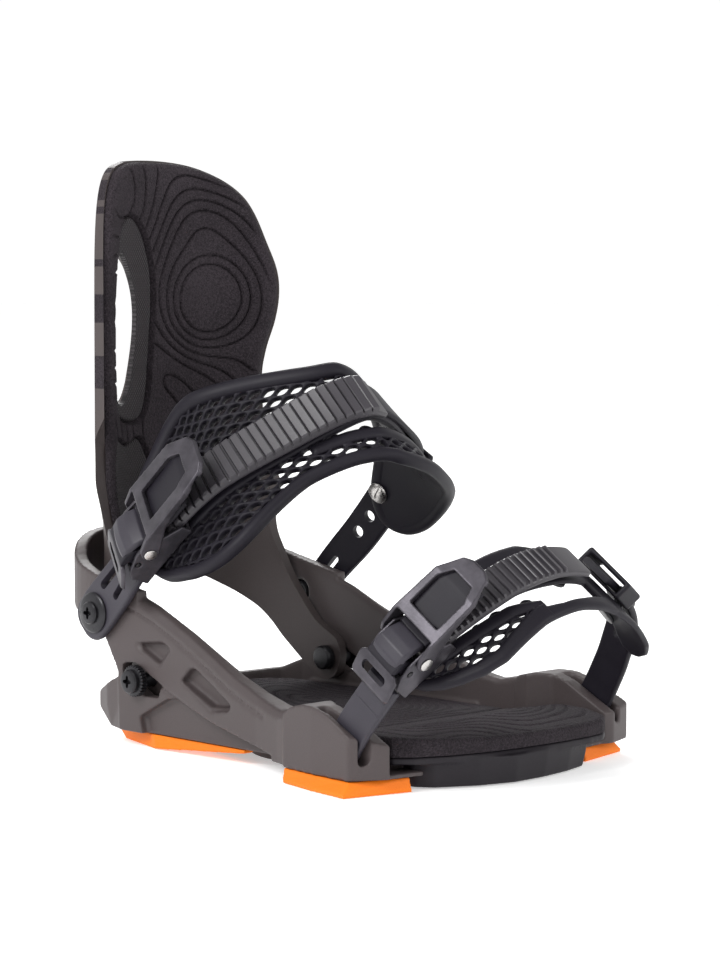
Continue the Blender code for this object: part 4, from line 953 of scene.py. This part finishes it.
def make_ankle_pad():
    edge = closed_edge(ANKLE_HIGH, ANKLE_LOW)

    def narrow(t, v):
        return mix(0.5, mix(0.62, 0.8, smoothstep(-14, 8, v)), smoothstep(46, 60, t))

    sheet = swept_rim(ANKLE, edge, ANKLE_RIM, narrow)
    rim = new_piece("ankle_pad_rim", sheet, ELASTOMER, 60.0)
    settle(rim, "ankle_medial", "strap_plastic", "ankle_pad")

    def blocked(t, v):
        low, high = reading(ANKLE_GAP_LOW, t) - 1.0, reading(ANKLE_GAP_HIGH, t) + 1.0
        return 144 < t < 212 and low < v < high

    sheet = lattice(ANKLE, edge, 48, 222, 5.25, 3.0, 0.62, 3.6, -6.6, blocked)
    web = new_piece("ankle_pad_web", sheet, ELASTOMER, 60.0)
    thicken(web, 3.2)
    settle(web, "ankle_medial", "strap_plastic")
    inner = [(138, -12.5), (156, -15), (168, -17.8), (190, -18.6), (210, -18), (234, -17)]
    rib = band(ANKLE, "ankle_pad_rib", ELASTOMER, [(t, v - 3.0) for t, v in inner],
               [(t, v + 3.0) for t, v in inner], 138, 234, -8.4, -4.2, 2.2)
    flap = band(ANKLE, "ankle_pad_flap", ELASTOMER, [(t, v + 2.0) for t, v in ANKLE_LOW],
                [(t, v - 2.0) for t, v in ANKLE_HIGH], 218, 274, -8.2, -5.4, 3.0, 30, 50)
    spine = band(ANKLE, "ankle_pad_spine", ELASTOMER, [(48, -11), (178, -10), (236, -9)],
                 [(48, 9), (178, 8.5), (236, 8)], 52, 236, -8.0, -4.0, 1.8, 16, 120)
    for piece in (rib, flap, spine):
        settle(piece, "ankle_medial", "strap_plastic")


def thicken(piece, thickness):
    add_modifier(piece, "SOLIDIFY", thickness=thickness * MM, offset=0.0)
    add_modifier(piece, "SUBSURF", levels=1, render_levels=1)


def ankle_sink(t):
    """How far the strip dips towards the pad behind its teeth."""
    return -3.2 * smoothstep(150, 182, t) + 3.2 * smoothstep(196, 234, t)


def make_ankle_ladder():
    slopes = [(0.0, 0.5), (0.09, 0.74), (0.72, 0.96), (0.79, 1.0), (0.83, 0.0), (0.97, 0.0),
              (1.0, 0.5)]
    strip = ladder(ANKLE, "ankle_ladder_strip", RIBBED, ANKLE_MIDDLE, 10.5, 50, 181,
                   71, 173, 4.1, 1.9, 2.0, slopes, ankle_sink)
    settle(strip, "ankle_medial", "ladder_plastic", "ankle_ladder")
    pin = new_piece("ankle_ladder_rivet", lathe(
        [(0, -1.0), (2.1, -1.0), (2.2, -1.3), (2.2, -11.6), (2.0, -12), (0, -12)]), BLACK_STEEL)
    pin.matrix_world = ANKLE.matrix(170, ANKLE_MIDDLE)
    settle(pin, "ankle_medial", "steel", "ankle_ladder_screw")
    nut = new_piece("ankle_adjust_stud", lathe(
        [(0, 4.0), (4.9, 3.9), (5.4, 3.3), (5.4, 2.3), (2.1, 2.2), (2.1, -8.7), (4.5, -8.8),
         (4.8, -9.1), (4.8, -9.5), (4.4, -9.8), (0, -9.8)]), ZINC)
    carve(nut, [prism(stadium(5.4, 0.7), in_frame(Matrix()), *depth)
                for depth in ((-14, -9.1), (3.2, 8))])
    nut.matrix_world = ANKLE.matrix(262, 0)
    settle(nut, "ankle_medial", "steel", "ankle_adjust_nut")


def make_ankle_straps():
    end = ANKLE.lengths[-1] - 9.0
    link = band(ANKLE, "ankle_link_arm", LINK,
                [(-1.4, -3), (-0.5, -6), (1.5, -8.6), (5, -10.3), (12, -10.8), (30, -11.5),
                 (44, -11.5)],
                [(-1.4, 3), (-0.5, 6), (1.5, 8.6), (5, 10.1), (12, 10.5), (30, 9.5), (44, 9.5)],
                -1.4, 44.2, -1.65, 1.95, 1.1, 20, 60)
    spots = [(10.0, 0.0, 0.0, 3.4, 0.0), (30.5, -4.6, 8.0, 1.7, 4.0), (29.0, 3.6, 11.0, 1.9, -3.0)]
    carve(link, [strap_slot(ANKLE, *spot) for spot in spots])
    settle(link, "ankle_lateral", "strap_plastic", "ankle_link")
    strap = band(ANKLE, "ankle_strap_arm", ELASTOMER,
                 [(150, -8), (210, -9.6), (300, -10), (end - 6, -9.4), (end, -5)],
                 [(150, 8), (210, 8), (300, 8), (end - 6, 7.6), (end, 4)],
                 179, end, -1.35, 1.55, 1.0, 16, 120, lift=ankle_sink)
    spots = [(262.0, 0, 0, 2.5, 0), (283.0, 0, 0, 2.7, 0), (293.5, 0, 0, 2.7, 0),
             (316.0, -0.6, 8.0, 1.6, 0), (ANKLE.lengths[-1] - 11.0, 0, 0, 3.4, 0)]
    carve(strap, [strap_slot(ANKLE, *spot) for spot in spots])
    settle(strap, "ankle_medial", "strap_plastic", "ankle_strap_medial")


def strap_slot(strap, t, v, length, radius, turn):
    """A slot through a strap, long way along it turned by some degrees."""
    place = strap.matrix(t, v) @ Matrix.Rotation(math.radians(turn), 4, "Z")
    return prism(stadium(length, radius), in_frame(place), -12, 12)


make_ankle_pad()
make_ankle_ladder()
make_ankle_straps()

# ---- toe strap

TOE_HIGH = [(38, 4), (44, 9.5), (52, 13.6), (62, 16), (85, 17.4), (115, 16.6), (130, 12.6),
            (142, 8), (152, 6), (175, 5), (190, 1), (198, -4), (202, -9)]
TOE_LOW = [(38, -7), (42, -14), (48, -19.5), (55, -23.4), (65, -26.9), (75, -28), (86, -26),
           (99, -24), (123, -23), (145, -22.8), (165, -24.5), (182, -24.6), (193, -22), (199, -18),
           (202, -13)]
TOE_GAP_HIGH = [(38, -2.5), (90, -5.5), (116, -7.4), (138, -6.5), (150, -6.5)]
TOE_GAP_LOW = [(88, -10.5), (96, -12.6), (103, -17.0), (112, -18.2), (124, -17.4), (138, -15.6),
               (150, -12)]


def make_toe_pad():
    upper = band(TOE, "toe_pad_upper", ELASTOMER, TOE_GAP_HIGH, TOE_HIGH,
                 39, 148, -6.9, -4.2, 2.4, 24, 110)
    settle(upper, "toe_medial", "strap_plastic", "toe_pad")
    flap = band(TOE, "toe_pad_flap", ELASTOMER, TOE_LOW, TOE_HIGH,
                140, 201.6, -7.0, -4.3, 2.4, 30, 70)
    lower = band(TOE, "toe_pad_lower", ELASTOMER, TOE_LOW, TOE_GAP_LOW,
                 97, 146, -7.2, -3.6, 2.4, 18, 60)
    rim_low = [(t, v) for t, v in TOE_LOW if t < 124]
    rim = band(TOE, "toe_pad_rim", ELASTOMER, rim_low,
               [(t, v + 6.4 + 2.4 * smoothstep(75, 99, t)) for t, v in rim_low],
               40, 104, -7.3, -3.4, 2.4, 16, 70)
    brow = band(TOE, "toe_pad_brow", ELASTOMER, [(38, -8), (60, -12.4), (90, -14.5), (104, -18)],
                [(38, -3), (60, -6.5), (90, -8.6), (104, -13.6)], 40, 104, -7.3, -3.6, 2.2, 16, 70)
    edge = closed_edge([(t, v) for t, v in TOE_GAP_HIGH if t < 100] + [(104, -9)],
                       [(t, v) for t, v in TOE_LOW if t < 104])
    sheet = lattice(TOE, edge, 44, 102, 4.4, 2.7, 0.6, 3.4, -5.9, lambda t, v: False)
    web = new_piece("toe_pad_web", sheet, ELASTOMER, 60.0)
    thicken(web, 2.8)
    for piece in (flap, lower, rim, brow, web):
        settle(piece, "toe_medial", "strap_plastic")


def make_toe_ladder():
    ridge = [(0.0, 0.0), (0.08, 0.85), (0.16, 1.0), (0.42, 0.9), (0.5, 0.0), (1.0, 0.0)]
    strip = ladder(TOE, "toe_ladder_strip", RIBBED, TOE_MIDDLE, 8.4, 42, 134,
                   60, 119, 2.9, 1.4, 1.9, ridge, lambda t: 0.0)
    settle(strip, "toe_medial", "ladder_plastic", "toe_ladder")
    pin = new_piece("toe_ladder_rivet", lathe(
        [(0, 1.8), (1.8, 1.8), (1.9, 1.5), (1.9, -8.7), (1.7, -9), (0, -9)]), BLACK_STEEL)
    pin.matrix_world = TOE.matrix(126, TOE_MIDDLE)
    settle(pin, "toe_medial", "steel", "toe_ladder_screw")


def make_toe_straps():

    def step(v, t, inside):
        across = smooth_edge(np.full(np.shape(v), t), 22.4, 22.8)
        return 0.7 * across * smooth_edge(inside, 0.4, 0.9)

    link = band(TOE, "toe_link_arm", LINK, [(0.8, -8.3), (12, -8.3), (30, -9.7), (35, -9.7)],
                [(0.8, 8.3), (12, 8.3), (30, 6.9), (35, 6.9)],
                0.9, 34.8, -1.5, 1.5, 0.9, 18, 60, relief=step)
    settle(link, "toe_lateral", "strap_plastic", "toe_link")
    end = TOE.lengths[-1]
    strap = band(TOE, "toe_strap_arm", ELASTOMER, [(150, -7.4), (160, -8.3), (end, -8.3)],
                 [(150, 7.4), (160, 8.3), (end, 8.3)], 150, end - 0.8, -1.5, 1.5, 0.9, 18, 90)
    carve(strap, [strap_slot(TOE, 183, 0, 0, 2.4, 0), strap_slot(TOE, 205, 0, 0, 2.6, 0)])
    settle(strap, "toe_medial", "strap_plastic", "toe_strap_medial")
    for piece, side in ((link, -1), (strap, 1)):
        carve(piece, [prism(stadium(0, 2.0), in_frame(outward(*TOE_BOLT, side)), 60, 80)])


make_toe_pad()
make_toe_ladder()
make_toe_straps()

# ---- star screws and washers

def star(radius=2.0, depth=0.35, lobes=4):
    turns = [2 * math.pi * i / (lobes * 10) for i in range(lobes * 10)]
    return [(radius * (1 + depth * math.cos(lobes * a)) * math.cos(a),
             radius * (1 + depth * math.cos(lobes * a)) * math.sin(a)) for a in turns]


def make_screw(name, place, profile, node, teeth_from=90.0):
    """A screw with a star recess; radii from teeth_from up carry a toothed edge."""
    def notch(angle, r):
        return 0.55 if r >= teeth_from and math.sin(28 * angle) > 0.2 else 0.0

    piece = new_piece(name, lathe(profile, 168, notch), BLACK_STEEL, 30.0)
    top = profile[0][1]
    recess = prism(star(), lambda p, q, depth: (p, q, depth), top - 1.9, top + 3)
    carve(piece, [recess], smooth_angle=30.0)
    piece.matrix_world = place
    settle(piece, "base", "steel", node)


for side_name, side in (("lateral", -1), ("medial", 1)):
    make_screw(
        f"pivot_screw_head_{side_name}", outward(*PIVOT, side),
        [(0, 66.2), (3.6, 66.2), (4.5, 65.9), (5.0, 65.2), (5.0, 63.6), (5.9, 63.5), (6.6, 63.1),
         (6.6, 60.6), (6.2, 60.4), (3.0, 60.4), (3.0, 45.6), (0, 45.6)],
        f"pivot_screw_{side_name}", 6.5)
    make_screw(
        f"ankle_bolt_head_{side_name}", outward(*ANKLE_BOLT, side),
        [(0, 67.6), (3.4, 67.6), (4.3, 67.3), (4.8, 66.7), (4.8, 65.8), (7.6, 65.6), (8.3, 65.2),
         (8.6, 64.8), (8.6, 64.3), (2.9, 64.2), (2.9, 55.0), (0, 55.0)],
        f"ankle_bolt_{side_name}")

# ---- base, dampers and buckles

RAIL_TOP = [(-94, 71.5), (-63, 64.2), (-53, 61.0), (-29, 50.8), (1.6, 37.0), (17.7, 31.4),
            (30, 28.6)]
RAIL_OUTER = [(-94, 60.0), (-40, 60.0), (-12, 62.0), (18, 65.0), (34, 68.5), (44, 71.8), (56, 73)]
WINDOW_REAR = [(-61.9, 44.4), (-47.2, 45.6), (-42.5, 43.5), (-48.9, 36.9), (-59.6, 41.7)]
WINDOW_FRONT = [(-27.5, 37), (-33.9, 31.3), (-13.9, 22.6), (-2.8, 23.4), (-1.6, 25.4), (-23.7, 37)]


def rail_groove(side, drop, depth, start, end):
    """A fine channel along the outer face of a side rail, drop below its top."""
    points, faces = [], []
    stations = np.linspace(start, end, 30)
    for x in stations:
        outer, z = reading(RAIL_OUTER, x), reading(RAIL_TOP, x) - drop
        points += [(x, side * y, z + dz) for y, dz in (
            (outer + 1.5, -1.1), (outer - depth, -0.8), (outer - depth, 0.8), (outer + 1.5, 1.1))]
    for index in range(len(stations) - 1):
        for k in range(4):
            after = (k + 1) % 4
            first = index * 4
            faces.append((first + k, first + after, first + 4 + after, first + 4 + k))
    last = 4 * (len(stations) - 1)
    faces += [(3, 2, 1, 0), (last, last + 1, last + 2, last + 3)]
    return bmesh_from(np.array(points) * MM, faces)


def grown(outline, amount):
    """An outline pushed out from its middle by about that many mm."""
    x, z = middle_of(outline)
    far = [math.hypot(a - x, b - z) for a, b in outline]
    return [(a + amount * (a - x) / r, b + amount * (b - z) / r)
            for (a, b), r in zip(outline, far)]


def make_base():
    cutters = []
    for side in (-1, 1):
        cutters.append(rail_groove(side, 7.0, 1.1, -80, 24))
        cutters.append(rail_groove(side, 31.0, 1.1, -70, -24))
        for outline, face in ((WINDOW_REAR, 59.1), (WINDOW_FRONT, 60.6)):
            cutters.append(side_prism(grown(outline, 2.2), *sorted((side * face, side * 80))))
    recast("baseplate", "baseplate_moulding", "base", "frame_nylon", NYLON, 0.75, 5, cutters)
    recast("heel_damper", "heel_damper_moulding", "base", "damper_rubber", ORANGE, 0.6, 3)
    for side in ("lateral", "medial"):
        recast(f"toe_damper_{side}", f"toe_damper_moulding_{side}", "base", "damper_rubber",
               ORANGE, 0.5, 3)
    recast("toe_ramp", "toe_ramp_moulding", "ramp", "frame_nylon", SKIRT, 0.7, 4)
    recast("lean_block", "lean_block_moulding", "lean_slide", "shell_nylon", SHELL, 0.45, 3)
    recast("lean_lever", "lean_lever_casting", "lean_lever", "buckle_metal", CASTING, 0.4, 3)


def make_buckle_parts(prefix, strap, t, middle, tail, scale, lever_end):
    """Castings of one buckle, the plate over its frame's tail, and its darker inlays."""
    body, lever, release = f"{prefix}_lateral", f"{prefix}_lever", f"{prefix}_release"
    for node, label, rider, finish, rounds in (
            ("buckle_frame", "frame_casting", body, CASTING, 3),
            ("lever", "lever_casting", lever, CASTING, 4),
            ("release", "release_moulding", release, ELASTOMER, 3),
            ("keeper", "keeper_moulding", f"{prefix}_medial", ELASTOMER, 3)):
        slot = "buckle_metal" if finish is CASTING else "strap_plastic"
        recast(f"{prefix}_{node}", f"{prefix}_{label}", rider, slot, finish, 0.4, rounds)
    place = strap.matrix(t, middle)

    def on_curve(line, bow=0.0):
        """Places a panel over a side view of (x, height) points, bowed down across."""
        def spot(y, x, h):
            points = np.column_stack((np.full(len(y), x), y, reading(line, x) + h - bow * y * y))
            return (points * MM) @ np.array(place.to_3x3()).T + np.array(place.translation)
        return spot

    def top(y, x, inside):
        return 0.4 + 1.6 * rounded(inside, 0.9)

    wide = 10.4 * scale
    shapes = (
        ("lever_pan", lever, ELASTOMER, 11.5, lever_end - 6.0, 9.6, 0.0,
         [(11, 9.0), (lever_end - 12, 9.9), (lever_end - 6, 9.0)]),
        ("thumb_tab", release, LINK, tail + 4.6, tail + 19.5, wide * 0.92, 0.012,
         [(tail + 4, 9.4), (tail + 7, 11.8), (tail + 11, 12.6), (tail + 15, 11.4),
          (tail + 20, 8.6)]),
        ("ladder_hood", body, ELASTOMER, tail + 19, tail + 43 * scale, wide, -0.004,
         [(tail + 18, 8.4), (tail + 24, 6.6), (tail + 32, 5.0), (tail + 44, 4.6)]))
    for label, rider, finish, first, last, half, bow, line in shapes:
        edge = [(-half, first + 2), (-half + 2, first), (half - 2, first), (half, first + 2),
                (half, last - 2), (half - 2, last), (-half + 2, last), (-half, last - 2)]
        sheet = panel(smooth_outline(edge, 4), 24, 30, on_curve(line, bow), top, flat(0.0), 0.6)
        settle(new_piece(f"{prefix}_{label}", sheet, finish, 50.0), rider, "strap_plastic")

    half = 13.6 * scale
    rise = [(tail - 7, 3.6), (tail - 4, 5.4), (tail + 0.5, 8.4), (tail + 3.4, 9.6)]
    outline = [(-half, tail - 5.5), (-half * 0.9, tail - 7), (half * 0.9, tail - 7),
               (half, tail - 5.5), (half, tail + 1.5), (half * 0.82, tail + 3.4),
               (-half * 0.82, tail + 3.4), (-half, tail + 1.5)]
    sheet = panel(outline, 30, 16, on_curve(rise), top, flat(0.0), 0.6)
    plate = new_piece(f"{prefix}_buckle_plate", sheet, CASTING, 50.0)
    turned = (place @ Matrix.Translation(Vector((tail - 1.6, 0, 6)) * MM)
              @ Matrix.Rotation(math.pi / 2, 4, "Z"))
    carve(plate, [prism(stadium(13.0 * scale, 1.7), in_frame(turned), -10, 10)],
          smooth_angle=50.0)
    settle(plate, body, "buckle_metal")


make_base()
make_buckle_parts("ankle", ANKLE, 62.0, ANKLE_MIDDLE, -17.0, 1.0, 46.0)
make_buckle_parts("toe", TOE, 50.5, TOE_MIDDLE, -15.0, 0.81, 40.0)

# ---- dressing

dress("disc", NYLON, 0.45)
BLACK = ("pivot_nut", "ankle_nut", "ankle_ladder_nut", "toe_ladder_nut", "toe_adjust_nut",
         "ankle_release_pin", "toe_release_pin")
for node_name in sorted(NODES):
    if not NODES[node_name].modifiers and not NODES[node_name].hide_render:
        dress(node_name, BLACK_STEEL if node_name.startswith(BLACK) else ZINC, 0.15)
